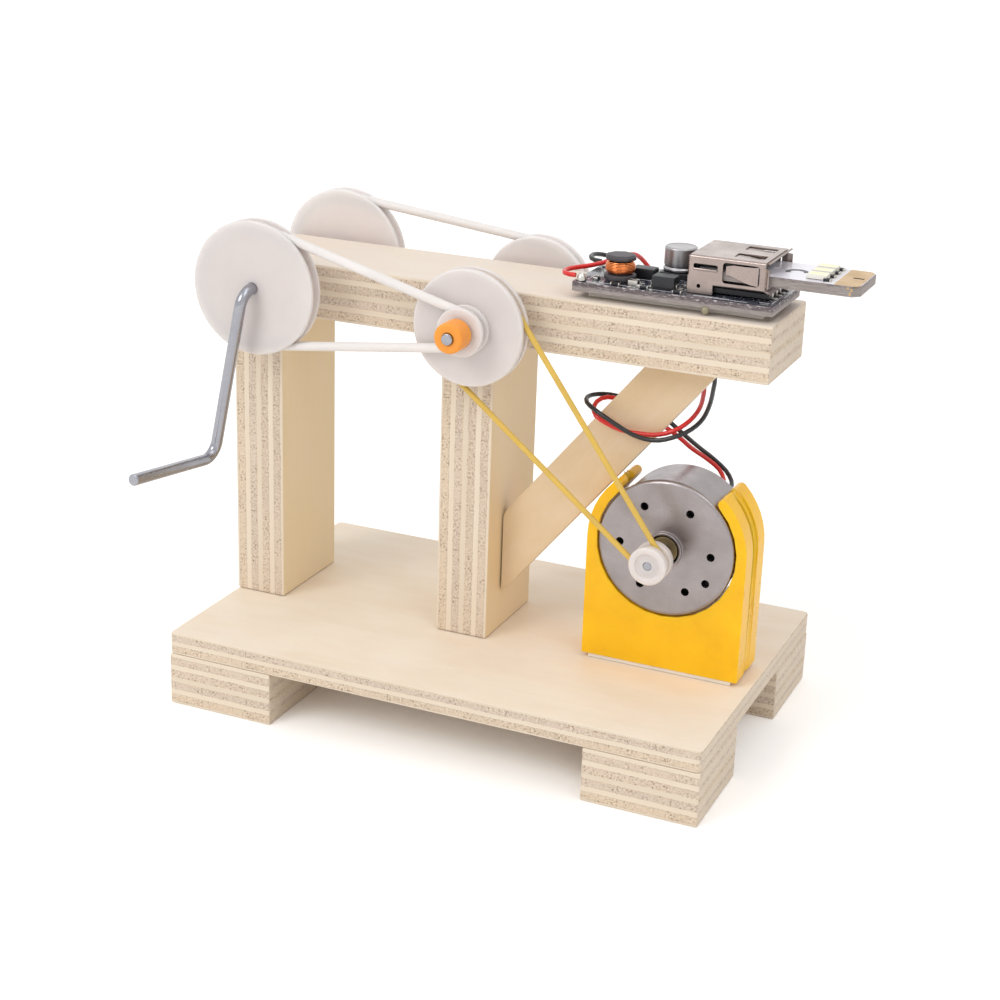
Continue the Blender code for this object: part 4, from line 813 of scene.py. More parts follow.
class GENERATOR_OT_pulleys(Builder, Operator):
    """Model the crank pulleys, the stepped middle pulleys, the motor pulley and the collars"""
    bl_idname = "generator.pulleys"
    bl_label = "Pulleys and collars"

    def build(self, scene):
        drive = scene.generator_drive
        bore = drive.rod
        for node in ("crank_pulley_front", "crank_pulley_back"):
            box = Box(node)
            step = rim(box.radius, "crank", box.low.y, box.high.y, drive.drive_belt)
            self.wheel(node, "crank", bore, box.low.y, step, box.high.y)
        for node, body, groove, belts in (
                ("mid_pulley_front", "mid", "mid_large", (drive.drive_belt, drive.motor_belt)),
                ("mid_pulley_back", "idler", "mid_back", (drive.motor_belt, drive.drive_belt))):
            box = Box(node)
            near = rim(MID_SMALL, "mid_small", 0, PULLEY_STEP, belts[0])
            near[-1] = (near[-1][0], PULLEY_STEP, 0.0)
            steps = near + rim(box.radius, groove, PULLEY_STEP, 2 * PULLEY_STEP, belts[1])
            if body == "mid":
                steps = [(point[0], box.low.y + point[1], *point[2:]) for point in steps]
                ends = box.low.y, box.low.y + 2 * PULLEY_STEP
            else:
                steps = [(point[0], box.high.y - point[1], *point[2:]) for point in steps[::-1]]
                ends = box.high.y - 2 * PULLEY_STEP, box.high.y
            self.wheel(node, body, bore, ends[0], steps, ends[1])
        self.motor_wheel(drive)
        orange = plastic("orange_collar", drive.orange, 0.42, 0.05, Subsurface_Weight=0.2,
                         Subsurface_Scale=0.001, Subsurface_Radius=AMBER_REACH)
        for node in ("shaft_collar_front", "shaft_collar_back"):
            box = Box(node)
            bm = turned([(bore, box.low.y, 0.0002), (box.radius, box.low.y, 0.0005),
                         (box.radius, box.high.y, 0.0005), (bore, box.high.y, 0.0002)],
                        box.axis, 64)
            piece(bm, f"{node}_orange", orange, node, "orange_plastic", "mid")

    def wheel(self, node, body, bore, front, steps, back, sides=128):
        box = Box(node)
        bm = turned([(bore, front, BORE_ROUND), *steps, (bore, back, BORE_ROUND)], box.axis, sides)
        piece(bm, f"{node}_milky", milky(node, box.middle), node, "milky_plastic", body, 40)

    def motor_wheel(self, drive):
        """The small motor pulley, whose front has a rim, a recess and a raised hub."""
        box = Box("motor_pulley")
        front, floor = box.low.y + MOTOR_RECESS, box.low.y + MOTOR_RECESS * 1.5
        face = [(0.00125, front, 0.0001), (0.00135, floor, 0.0), (0.0021, floor, 0.0001),
                (0.0022, box.low.y, 0.00015)]
        step = rim(box.radius, "motor", box.low.y, box.high.y, drive.motor_belt)
        self.wheel("motor_pulley", "rotor", MOTOR_SHAFT, front, face + step, box.high.y, 80)


class GENERATOR_OT_belts(Builder, Operator):
    """Model the three round belts"""
    bl_idname = "generator.belts"
    bl_label = "Belts"

    def build(self, scene):
        drive = scene.generator_drive
        white = plastic("white_rubber", drive.white_belt, 0.5, bump=0.000012,
                        Subsurface_Weight=0.5, Subsurface_Scale=0.0015,
                        Subsurface_Radius=MILKY_REACH)
        yellow = plastic("yellow_rubber", drive.yellow_belt, 0.45, 0.08, bump=0.000012,
                         Subsurface_Weight=0.15, Subsurface_Scale=0.001,
                         Subsurface_Radius=AMBER_REACH)
        crank, mid, motor = (Box(node).middle for node in (
            "crank_pulley_front", "mid_pulley_front", "motor_pulley"))
        white_belt = drive.drive_belt, white, "white_belt"
        for node, wheels, grooves, (width, rubber, slot) in (
                ("drive_belt_front", (crank, mid), ("crank", "mid_small"), white_belt),
                ("drive_belt_back", (crank, mid), ("crank", "mid_back"), white_belt),
                ("motor_belt", (mid, motor), ("mid_large", "motor"),
                 (drive.motor_belt, yellow, "yellow_belt"))):
            ends = [(wheel.x, wheel.z, GROOVE_DEPTH[groove] + SEAT + width / 2)
                    for wheel, groove in zip(wheels, grooves)]
            bm = belt(Box(node).middle.y, *ends, width / 2)
            piece(bm, f"{node}_rubber", rubber, node, slot, smooth=60)


PLATE_THICK = 0.0008
CAN_WALL = 0.0008
BEARING_SEAT = 0.00275
BOSS_WALL = 0.0004
HOLE_CIRCLE = 0.00815
EXTRA_HOLE = (0.0090, radians(-33))
HOLE_RIM = 0.00024


class GENERATOR_OT_motor(Builder, Operator):
    """Model the motor's plate, can, bearings and terminals, and shade what is inside"""
    bl_idname = "generator.motor"
    bl_label = "Motor"

    def build(self, scene):
        motor = scene.generator_motor
        centre = Box("motor_front_plate").axis
        zinc = metal("zinc_plated", motor.zinc, 0.28, 0.4, corner=centre, rings=0.0003,
                     bump=0.000006)
        self.plate(motor, zinc)
        box = Box("motor_can")
        inner, floor = box.radius - CAN_WALL, box.high.y - CAN_WALL
        bm = turned([(inner, box.low.y, 0.0001), (box.radius, box.low.y, 0.0001),
                     (box.radius, box.high.y, 0.0012), (BEARING_SEAT, box.high.y, 0.0001),
                     (BEARING_SEAT, floor, 0.0), (inner, floor, 0.0006)], centre, 128)
        piece(bm, "motor_can_zinc", zinc, "motor_can", "zinc_plate")
        bronze = metal("sintered_bronze_bearing", motor.bronze, 0.45, 0.5)
        bore = MOTOR_SHAFT + GAP
        for node in ("motor_bearing_front", "motor_bearing_rear"):
            box = Box(node)
            bm = turned([(bore, box.low.y, 0.00015), (box.radius, box.low.y, 0.0002),
                         (box.radius, box.high.y, 0.0002), (bore, box.high.y, 0.0001)], centre, 64)
            piece(bm, f"{node}_bronze", bronze, node, "sintered_bronze")
        copper = metal("enamelled_wire", motor.copper, 0.3)
        iron = metal("stamped_iron", srgb(126, 124, 126), 0.42, 0.5)
        magnet = plastic("pressed_ferrite", srgb(46, 44, 46), 0.6, 0.1, bump=0.00003)
        for skin, nodes in ((iron, ["rotor"]), (magnet, ["magnet_left", "magnet_right"]),
                            (copper, ["commutator", "winding_1", "winding_2", "winding_3"]),
                            (tinned(), ["brush_left", "brush_right", "terminal_red",
                                        "terminal_black"])):
            for node in nodes:
                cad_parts[f"motor_{node}"].data.materials[0] = skin
        box = Box("motor_terminal_block")
        piece(block(box.low, box.high, 0.0002), "motor_terminal_base", black_moulding(),
              "motor_terminal_block", "black_plastic")
        for name in ("red", "black"):
            box = Box(f"motor_terminal_{name}")
            spot = Vector(((box.low.x + box.high.x) / 2, box.high.y,
                           (box.low.z + box.high.z) / 2))
            piece(solder_blob(spot, 0.00055, 0.0007, "Y"), f"motor_solder_{name}", tinned(),
                  slot="tinned_metal")

    def plate(self, motor, zinc):
        """The front plate: a raised boss, a rolled rim and a circle of vent holes."""
        box = Box("motor_front_plate")
        axis, boss = box.middle, BEARING_SEAT + BOSS_WALL
        face, back = box.high.y - PLATE_THICK, box.high.y
        bm = turned([(BEARING_SEAT, box.low.y, 0.00012), (boss, box.low.y, 0.00015),
                     (boss, face, 0.0001), (box.radius, face, motor.rim),
                     (box.radius, back, 0.0001), (BEARING_SEAT, back, 0.0)], box.axis, 128)
        for circle, angle in [(HOLE_CIRCLE, pi * i / 3) for i in range(6)] + [EXTRA_HOLE]:
            spot = Vector((axis.x + circle * cos(angle), 0, axis.z + circle * sin(angle)))
            bm = carved(bm, peg(spot, motor.hole, face - 0.001, back + 0.001, 24))

        def on_hole(line):
            near, far = (vert.co for vert in line.verts)
            out = hypot(near.x - axis.x, near.z - axis.z)
            return (abs(near.y - far.y) < 1e-6 and line.calc_face_angle(0.0) > radians(60)
                    and BEARING_SEAT + 0.002 < out < box.radius - 0.001)

        rounded(bm, filter(on_hole, bm.edges), HOLE_RIM, 3)
        piece(bm, "motor_plate_zinc", zinc, "motor_front_plate", "zinc_plate")


def solder_blob(spot, radius, height, axis="Z"):
    """A low cone of solder that has flowed round a wire."""
    bm = turned([(0, -height / 2), (radius, -height / 2, radius * 0.3),
                 (radius * 0.75, height * 0.15, radius * 0.4),
                 (radius * 0.3, height / 2, radius * 0.2), (0, height / 2)], (0, 0, 0), 20, axis)
    bmesh.ops.translate(bm, vec=spot, verts=bm.verts[:])
    return bm


WAVE_LIFT = 0.0003
WAVE_SLOPE = 0.0009
MOUNT_SINK = 0.0005


class GENERATOR_OT_mount(Builder, Operator):
    """Model the yellow motor mount and the tape under it"""
    bl_idname = "generator.mount"
    bl_label = "Motor mount"

    def build(self, scene):
        motor = scene.generator_motor
        amber = plastic("amber_mount", motor.amber, 0.3, 0.08, bump=0.00002,
                        Subsurface_Weight=0.35, Subsurface_Scale=0.002, Specular_IOR_Level=0.3,
                        Subsurface_Radius=AMBER_REACH)
        bm = softened(self.shallow(copied("motor_mount")), motor.mount_edge, 40, 3)
        piece(bm, "motor_mount_amber", amber, "motor_mount", "amber_plastic", smooth=50)
        foam = plastic("foam_tape", srgb(236, 229, 219), 0.75, 0.08, bump=0.00006)
        for node in ("mount_tape", "board_tape"):
            box = Box(node)
            piece(block(box.low - JOINT, box.high, 0.00012), f"{node}_foam", foam, node,
                  "white_foam_tape")

    def shallow(self, bm):
        """Set the foot on its tape, and turn the square groove round the side into a wave."""
        axis, mount = Box("motor_can").middle, Box("motor_mount")
        for vert in bm.verts:
            if vert.co.z < mount.low.z + 0.0001:
                vert.co.z -= MOUNT_SINK
        for line in bm.edges:
            near, far = sorted(line.verts, key=lambda vert: vert.co.y)
            if near.co.y < mount.low.y + 0.001 or far.co.y > mount.high.y - 0.001:
                continue
            if far.co.y - near.co.y > 0.001:
                for vert, side in ((near, 1), (far, -1)):
                    out = Vector((vert.co.x - axis.x, 0, max(vert.co.z - axis.z, 0.0)))
                    vert.co += out.normalized() * WAVE_LIFT + Vector((0, side * WAVE_SLOPE, 0))
        return bm


def on_board(x, y, z):
    """A place in millimetres on the base's grid, z up from the output board's top."""
    return place(x, y, 0) + Vector((0, 0, Box("circuit_board").high.z + z / 1000))


def board_block(bm, low, high, edge, index, segments=2):
    """A small block between two places on the board."""
    block(on_board(*low), on_board(*high), edge, segments, bm=bm, index=index)


CAP_DEEP = 0.22
CAP_PROUD = 0.04


def smd(bm, x, y, size, across=False, body=0):
    """A small chip part on the board: a body and two tinned ends."""
    long, wide, tall = size

    def spot(along, aside, z):
        return (x + aside, y + along, z) if across else (x + along, y + aside, z)

    inset = (0.02, 0.05) if across else (0.05, 0.02)
    reach, half = long / 2 - inset[0], wide / 2 - inset[1]
    board_block(bm, spot(-reach, -half, 0.03), spot(reach, half, tall - 0.03), 0.00005, body)
    half = wide / 2 + CAP_PROUD
    for near, far in ((-long / 2, CAP_DEEP - long / 2), (long / 2 - CAP_DEEP, long / 2)):
        board_block(bm, spot(near, -half, 0.0), spot(far, half, tall), 0.00006, 1)


def pad(bm, x, y, long, wide, index, tall=0.06):
    board_block(bm, (x - long / 2, y - wide / 2, 0), (x + long / 2, y + wide / 2, tall), 0.00002,
                index, 1)


def leg(bm, x, y, reach, wide, tall, side):
    """A bent tinned leg that runs out of a chip's side and stands on the board."""
    for out, top, edge in ((reach, 0.18, 0.00004), (0.25, tall, 0.00005)):
        low, high = sorted((x, x + side * out))
        board_block(bm, (low, y - wide / 2, 0.0), (high, y + wide / 2, top), edge, 1)


def sawn_edge(node, share=1.0):
    """The edge of one board, its layers counted from the board's own underside.

    share is how much of its height is pale laminate, against that of the output board.
    """
    box, tint = Box(node), bpy.context.scene.generator_board.fibre
    return finish(f"{node}_edge", board_laminate,
                  {"Color": tint, "Thickness": (box.high.z - box.low.z) * share},
                  bump=0.00008, corner=box.low)


# Places on the board in millimetres: x, y and across, or x, y, length and width
RESISTOR = (1.6, 0.85, 0.5)
RESISTORS = ((67.4, 28.2, True), (68.0, 33.2, False), (67.2, 35.6, True), (71.6, 26.0, False),
             (75.6, 27.0, True), (76.9, 30.6, False), (76.5, 26.2, False), (82.0, 31.0, True),
             (82.2, 35.0, True), (70.6, 37.2, False), (73.4, 39.0, False), (82.3, 26.0, False))
PADS = ((66.9, 30.4, 0.9, 0.7), (68.3, 30.9, 0.6, 0.5), (73.9, 26.0, 0.9, 0.5),
        (74.6, 29.5, 1.3, 0.5), (74.3, 30.6, 0.5, 0.9), (77.9, 25.7, 0.7, 0.4),
        (80.1, 25.7, 0.7, 0.4), (82.0, 28.9, 0.5, 1.0), (72.6, 35.8, 0.5, 0.9),
        (75.0, 36.6, 0.9, 0.5), (69.2, 39.2, 1.0, 0.6), (81.9, 38.6, 0.6, 1.2),
        (96.9, 26.3, 1.2, 0.5), (97.6, 39.6, 0.8, 0.8))
INK_LINES = ((68.6, 26.15, 5.0, 0.14), (68.6, 32.6, 5.0, 0.14), (77.2, 26.15, 5.0, 0.14),
             (77.2, 29.5, 5.0, 0.14), (66.1, 27.4, 0.14, 4.4), (74.4, 28.2, 0.14, 2.2),
             (71.8, 31.9, 4.5, 0.14), (66.5, 25.5, 1.7, 0.14), (85.0, 25.9, 9.0, 0.16),
             (85.0, 26.35, 6.0, 0.12), (95.8, 27.1, 1.8, 0.14), (97.9, 27.1, 0.14, 13.0))
GLUE_DROP_X = 87.6


class GENERATOR_OT_board(Builder, Operator):
    """Model the output board with its chips, capacitor, pads and solder"""
    bl_idname = "generator.board"
    bl_label = "Output board"

    def build(self, scene):
        board, box = scene.generator_board, Box("circuit_board")
        mask = finish("board_lacquer", printed_board, {
            "Color": board.mask, "Tin": srgb(204, 200, 200)}, bump=0.00003, Coat_Weight=0.4)
        bm = block(box.low, box.high, 0.00008, 1, 0.0003)
        coloured([face for face in bm.faces if abs(face.normal.z) < 0.9], 1)
        piece(bm, "circuit_board_lacquer", [mask, sawn_edge("circuit_board")], "circuit_board",
              "dark_board")
        bm = bmesh.new()
        for x, y, across in RESISTORS:
            smd(bm, x, y, RESISTOR, across)
        smd(bm, 68.3, 40.0, (2.0, 1.25, 0.8), False, 2)
        smd(bm, 74.2, 27.6, (1.2, 1.6, 0.9), True)
        for spot in PADS:
            pad(bm, *spot, 1)
        for x, y, long, wide in INK_LINES:
            pad(bm, x + long / 2, y + wide / 2, long, wide, 3, 0.03)
        tan = plastic("ceramic_part", srgb(168, 140, 112), 0.45, 0.08)
        piece(bm, "board_small_parts", [chip_body(), tinned(), tan, white_ink()])
        drop = turned([(0, 0), (0.00075, 0, 0.0003), (0.0005, 0.0006, 0.0003), (0, 0.0007)],
                      (0, 0, 0), 20)
        bmesh.ops.rotate(drop, verts=drop.verts[:], cent=(0, 0, 0),
                         matrix=Matrix.Rotation(pi, 3, "Z"))
        bmesh.ops.translate(drop, verts=drop.verts[:],
                            vec=(place(GLUE_DROP_X, 0, 0).x, box.low.y + 0.0001,
                                 box.low.z - 0.0003))
        glue = plastic("glue_drop", srgb(150, 140, 112), 0.2, 0.1, Coat_Weight=0.5)
        piece(drop, "board_glue_drop", glue, slot="white_foam_tape")
        base = box.high.z
        self.chip("power_diode", base, 0.55, 1.4, 1.0, (0.0,))
        self.chip("switch_chip", base, 0.6, 0.34, 0.8, (-0.95, -0.32, 0.32, 0.95))
        self.capacitor(base)
        for name in ("red", "black"):
            box = Box(f"solder_joint_{name}")
            spot = Vector(((box.low.x + box.high.x) / 2, (box.low.y + box.high.y) / 2,
                           (base + box.high.z) / 2))
            bm = solder_blob(spot, (box.high.x - box.low.x) * 0.62, box.high.z - base)
            piece(bm, f"solder_{name}_blob", tinned(), f"solder_joint_{name}", "tinned_metal")

    def chip(self, node, base, reach, wide, tall, rows):
        """A moulded chip with a row of legs on each side."""
        box = Box(node)
        bm = softened(block(box.low, box.high, 0.00025), 0.00005, 60, 1)
        inset = 0.0002
        block((box.low.x + inset, box.low.y + inset, base),
              (box.high.x - inset, box.high.y - inset, box.low.z + inset), bm=bm)
        x, y = (box.middle.x - CORNER.x) * 1000, (box.middle.y - CORNER.y) * 1000
        half = (box.high.x - box.low.x) * 500
        for side in (-1, 1):
            for row in rows:
                leg(bm, x + side * (half - 0.02), y + row, reach, wide, tall, side)
        piece(bm, f"{node}_body", [chip_body(), tinned()], node, "black_plastic")

    def capacitor(self, base):
        """A can capacitor: black base, rolled foot and a scored top."""
        silver = metal("capacitor_aluminium", srgb(176, 174, 176), 0.34, 0.3, bump=0.000006)
        box = Box("capacitor_base")
        bm = block((box.low.x, box.low.y, base), box.high, 0.0001, 1, 0.0006)
        piece(bm, "capacitor_foot", black_moulding(), "capacitor_base", "black_plastic")
        box = Box("capacitor_can")
        top, foot, radius = box.high.z, box.low.z - 0.0002, box.radius
        outline = [(0, foot), (radius - 0.0001, foot, 0.0001), (radius, foot + 0.0002, 0.0001),
                   (radius, foot + 0.00045, 0.0001), (radius - 0.00028, foot + 0.00072, 0.00012),
                   (radius - 0.00008, foot + 0.001, 0.00012),
                   (radius - 0.00008, top - 0.00005, 0.0003), (radius - 0.00045, top, 0.0001),
                   (radius - 0.0006, top - 0.0001, 0.0001), (0, top - 0.0001)]
        bm = turned(outline, (box.middle.x, box.middle.y, 0), 72, "Z")
        piece(bm, "capacitor_can_aluminium", silver, "capacitor_can", "bare_aluminium")


WINDING_TURNS = 9
TURN_STEPS = 40
WINDING_BELLY = 0.0006
CAP_SIDES = 8
REEL_LIP = 0.0009
REEL_CORE = 0.0017


class GENERATOR_OT_inductor(Builder, Operator):
    """Model the ferrite reel and its copper winding"""
    bl_idname = "generator.inductor"
    bl_label = "Inductor"

    def build(self, scene):
        box, lip = Box("inductor_core"), REEL_LIP
        low, high, centre, radius = box.low.z, box.high.z, box.middle, box.radius
        base, stem = Box("circuit_board").high.z, (centre.x, centre.y, 0)
        bm = turned([(0, base), (radius - 0.0003, base, 0.0001), (radius - 0.0003, low, 0.0),
                     (radius, low + 0.0001, 0.0001), (radius, low + lip, 0.00015),
                     (REEL_CORE, low + lip + 0.0001, 0.0001), (REEL_CORE, high - lip, 0.0),
                     (0, high - lip)], stem, 48, "Z")
        turned([(0, high - lip), (radius - 0.0003, high - lip, 0.0001),
                (radius, high - lip * 0.75, 0.0001), (radius, high - 0.00035, 0.0001),
                (radius - 0.0004, high, 0.0001), (0, high)], stem, CAP_SIDES, "Z", bm)
        ferrite = plastic("ferrite_reel", srgb(66, 62, 66), 0.5, 0.12, bump=0.00004)
        piece(bm, "inductor_reel", ferrite, "inductor_core", "ferrite")
        copper = metal("inductor_copper", srgb(236, 142, 84), 0.2, 0.12, bump=0.000004)
        piece(self.winding(low, high, centre), "inductor_turns", copper, "inductor_winding",
              "enamelled_copper", smooth=60)

    def winding(self, low, high, centre):
        """One unbroken wire in close turns, with a belly halfway up."""
        wire = (high - low - 2 * REEL_LIP - 0.0002) / WINDING_TURNS / 2
        start = Vector((centre.x + REEL_CORE + wire * 1.1, centre.y,
                        low + REEL_LIP + 0.0001 + wire))
        coil = bmesh.new()
        at = Matrix.Translation(start) @ Matrix.Rotation(pi / 2, 4, "X")
        made = bmesh.ops.create_circle(coil, segments=8, radius=wire * 0.96, matrix=at)["verts"]
        ring = list({line for vert in made for line in vert.link_edges})
        bmesh.ops.spin(coil, geom=ring, cent=(centre.x, centre.y, start.z), axis=(0, 0, 1),
                       dvec=Vector((0, 0, 2 * wire)) / TURN_STEPS,
                       angle=2 * pi * (WINDING_TURNS - 1), steps=TURN_STEPS * (WINDING_TURNS - 1),
                       use_merge=False, use_duplicate=False)
        bmesh.ops.holes_fill(coil, edges=coil.edges[:], sides=8)
        half = (high - low) / 2 - REEL_LIP
        for vert in coil.verts:
            out = Vector((vert.co.x - centre.x, vert.co.y - centre.y, 0))
            level = (vert.co.z - centre.z) / half
            vert.co += out.normalized() * (WINDING_BELLY * max(1 - level * level, 0.0))
        bmesh.ops.recalc_face_normals(coil, faces=coil.faces[:])
        return coil


def ribbon(bm, stations, thick):
    """A strip of sheet metal through pairs of points, given the sheet's thickness."""
    own = bmesh.new()
    start = stations[0][0]
    line = own.edges.new([own.verts.new(spot) for spot in stations[0]])
    for low, high in stations[1:]:
        line = edges_of(bmesh.ops.extrude_edge_only(own, edges=[line])["geom"])[0]
        near, far = sorted(line.verts, key=lambda vert: (vert.co - start).length)
        near.co, far.co, start = low, high, low
    bmesh.ops.recalc_face_normals(own, faces=own.faces[:])
    bmesh.ops.solidify(own, geom=own.faces[:], thickness=thick)
    join(bm, own)


# The socket in millimetres: its shell's half width, height and wall, and the middle of its sides
SHELL = (6.55, 4.9, 0.35)
SIDE_Y = 6.4
# Side strips as x, how far outward, low and high z; top springs as x, z and half width;
# end lips as x, how far outward and half width
SIDE_SPRING = ((11.9, 0.0, 0.95, 4.0), (10.9, 0.0, 1.05, 3.95), (9.6, 0.0, 1.35, 3.9),
               (8.4, -0.3, 1.65, 3.85), (7.5, -0.5, 1.95, 3.8), (6.8, -0.3, 2.15, 3.7),
               (6.35, -0.1, 2.25, 3.6))
SIDE_LIP = ((12.9, 0.0, 0.8, 4.1), (13.3, 0.12, 0.85, 4.05), (13.75, 0.45, 0.95, 3.95))
TOP_SPRING = ((6.8, 4.72, 1.05), (9.0, 4.66, 1.05), (10.6, 4.5, 0.95), (11.4, 4.62, 0.9))
END_LIP = ((12.9, 0.0, 5.5), (13.3, 0.12, 5.5), (13.85, 0.55, 5.4))
TOP_WINDOW_Y = 3.0
PIN_YS = (-3.5, -1.0, 1.0, 3.5)


class GENERATOR_OT_socket(Builder, Operator):
    """Model the USB socket: shell, springs, lips, insulator and pins"""
    bl_idname = "generator.socket"
    bl_label = "USB socket"

    def at(self, x, y, z):
        """Millimetres from the shell's closed end, its middle and its underside."""
        box = Box("usb_shell")
        return Vector((box.low.x + x / 1000, (box.low.y + box.high.y) / 2 + y / 1000,
                       box.high.z - SHELL[1] / 1000 + z / 1000))

    def build(self, scene):
        at = self.at
        nickel = metal("nickel_shell", scene.generator_board.nickel, 0.24, 0.45, bump=0.000008)
        piece(self.shell(), "usb_shell_nickel", nickel, "usb_shell", "nickel_plate")
        springs = bmesh.new()
        for side in (-1, 1):
            for strip, thick in ((SIDE_SPRING, 0.00025), (SIDE_LIP, 0.0003)):
                ribbon(springs, [[at(x, side * (SIDE_Y + out), z) for z in (low, high)]
                                 for x, out, low, high in strip], thick)
            middle = side * TOP_WINDOW_Y
            ribbon(springs, [(at(x, middle - half, z), at(x, middle + half, z))
                             for x, z, half in TOP_SPRING], 0.00025)
            near, far = sorted((side * SIDE_Y, side * 6.85))
            block(at(0.95, near, 2.45), at(5.05, far, 2.85), 0.00016, 3, bm=springs)
        for level, rise in ((4.72, 1), (0.18, -1)):
            ribbon(springs, [(at(x, -half, level + rise * out), at(x, half, level + rise * out))
                             for x, out, half in END_LIP], 0.0003)
        piece(springs, "usb_springs_nickel", nickel, slot="nickel_plate", smooth=40)
        bm = softened(copied("usb_insulator"), 0.00008, 40, 1)
        piece(bm, "usb_insulator_moulded", black_moulding(), "usb_insulator", "black_plastic")
        pins = bmesh.new()
        for y in PIN_YS:
            for end, top in ((14.5, -1.25), (13.75, -0.5)):
                block(at(13.4, y - 0.35, -1.5), at(end, y + 0.35, top), 0.00008, bm=pins)
        for y in (-6.2, 6.2):
            block(at(2.0, y - 0.5, -3.85), at(3.1, y + 0.3, -3.05), 0.0002, 3, bm=pins)
        piece(pins, "usb_pins_tinned", tinned(), slot="tinned_metal")

    def shell(self):
        """The sheet metal shell: open at one end, with side tabs, windows and a stake hole."""
        at = self.at
        half, tall, wall = SHELL
        bm = block(at(0, -half, 0), at(14, half, tall), 0.00042, 3)
        made = bmesh.ops.bisect_plane(bm, geom=bm.verts[:] + bm.edges[:] + bm.faces[:],
                                      plane_co=at(13, 0, 0), plane_no=(1, 0, 0), clear_outer=True)
        bmesh.ops.holes_fill(bm, edges=edges_of(made["geom_cut"]))
        inner = half - wall
        for side in (-1, 1):
            near, far = sorted((side * half, side * inner))
            bm = carved(bm, block(at(0, near, -1.45), at(4.4, far, 1.5), 0.00008, 1), "UNION")
        bm = carved(bm, block(at(wall, -inner, wall), at(14, inner, tall - wall), 0.0002))
        for side in (-1, 1):
            bm = carved(bm, self.window(5.9, 12.1, side, 0.8, 4.2, 0.55))
            bm = carved(bm, self.window(0.95, 5.05, side, 2.75, 3.55, 0.3))
            bm = carved(bm, turned([(0, -0.001), (0.00034, -0.001), (0.00034, 0.001), (0, 0.001)],
                                   at(2.0, side * SIDE_Y, -0.15), 20))
            middle = side * TOP_WINDOW_Y
            cutter = block(at(7.0, middle - 1.45, 4.0), at(12.0, middle + 1.45, 5.5), 0.0002)
            bm = carved(bm, cutter)
        return softened(bm, 0.00007, 60, 1)

    def window(self, left, right, side, low, high, round_mm):
        """A cutter with round corners for the shell's side."""
        y = side * SIDE_Y
        bm = block(self.at(left, y - 1, low), self.at(right, y + 1, high))
        rounded(bm, [line for line in bm.edges
                     if abs(line.verts[0].co.y - line.verts[1].co.y) > 0.001], round_mm / 1000, 4)
        return bm


STICK_PAD = 4.3
RESISTOR_YS = (-4.2, -1.4, 1.4, 4.2)
BRASS_BITS = ((-2.1, -0.55, -0.1), (-1.75, -1.5, -0.9), (-1.5, -0.8, -0.3))
ARCH = 0.0015
ARCH_HALF = 0.0004
ARCH_X = -11.7
LAMP_INSET = 0.0003


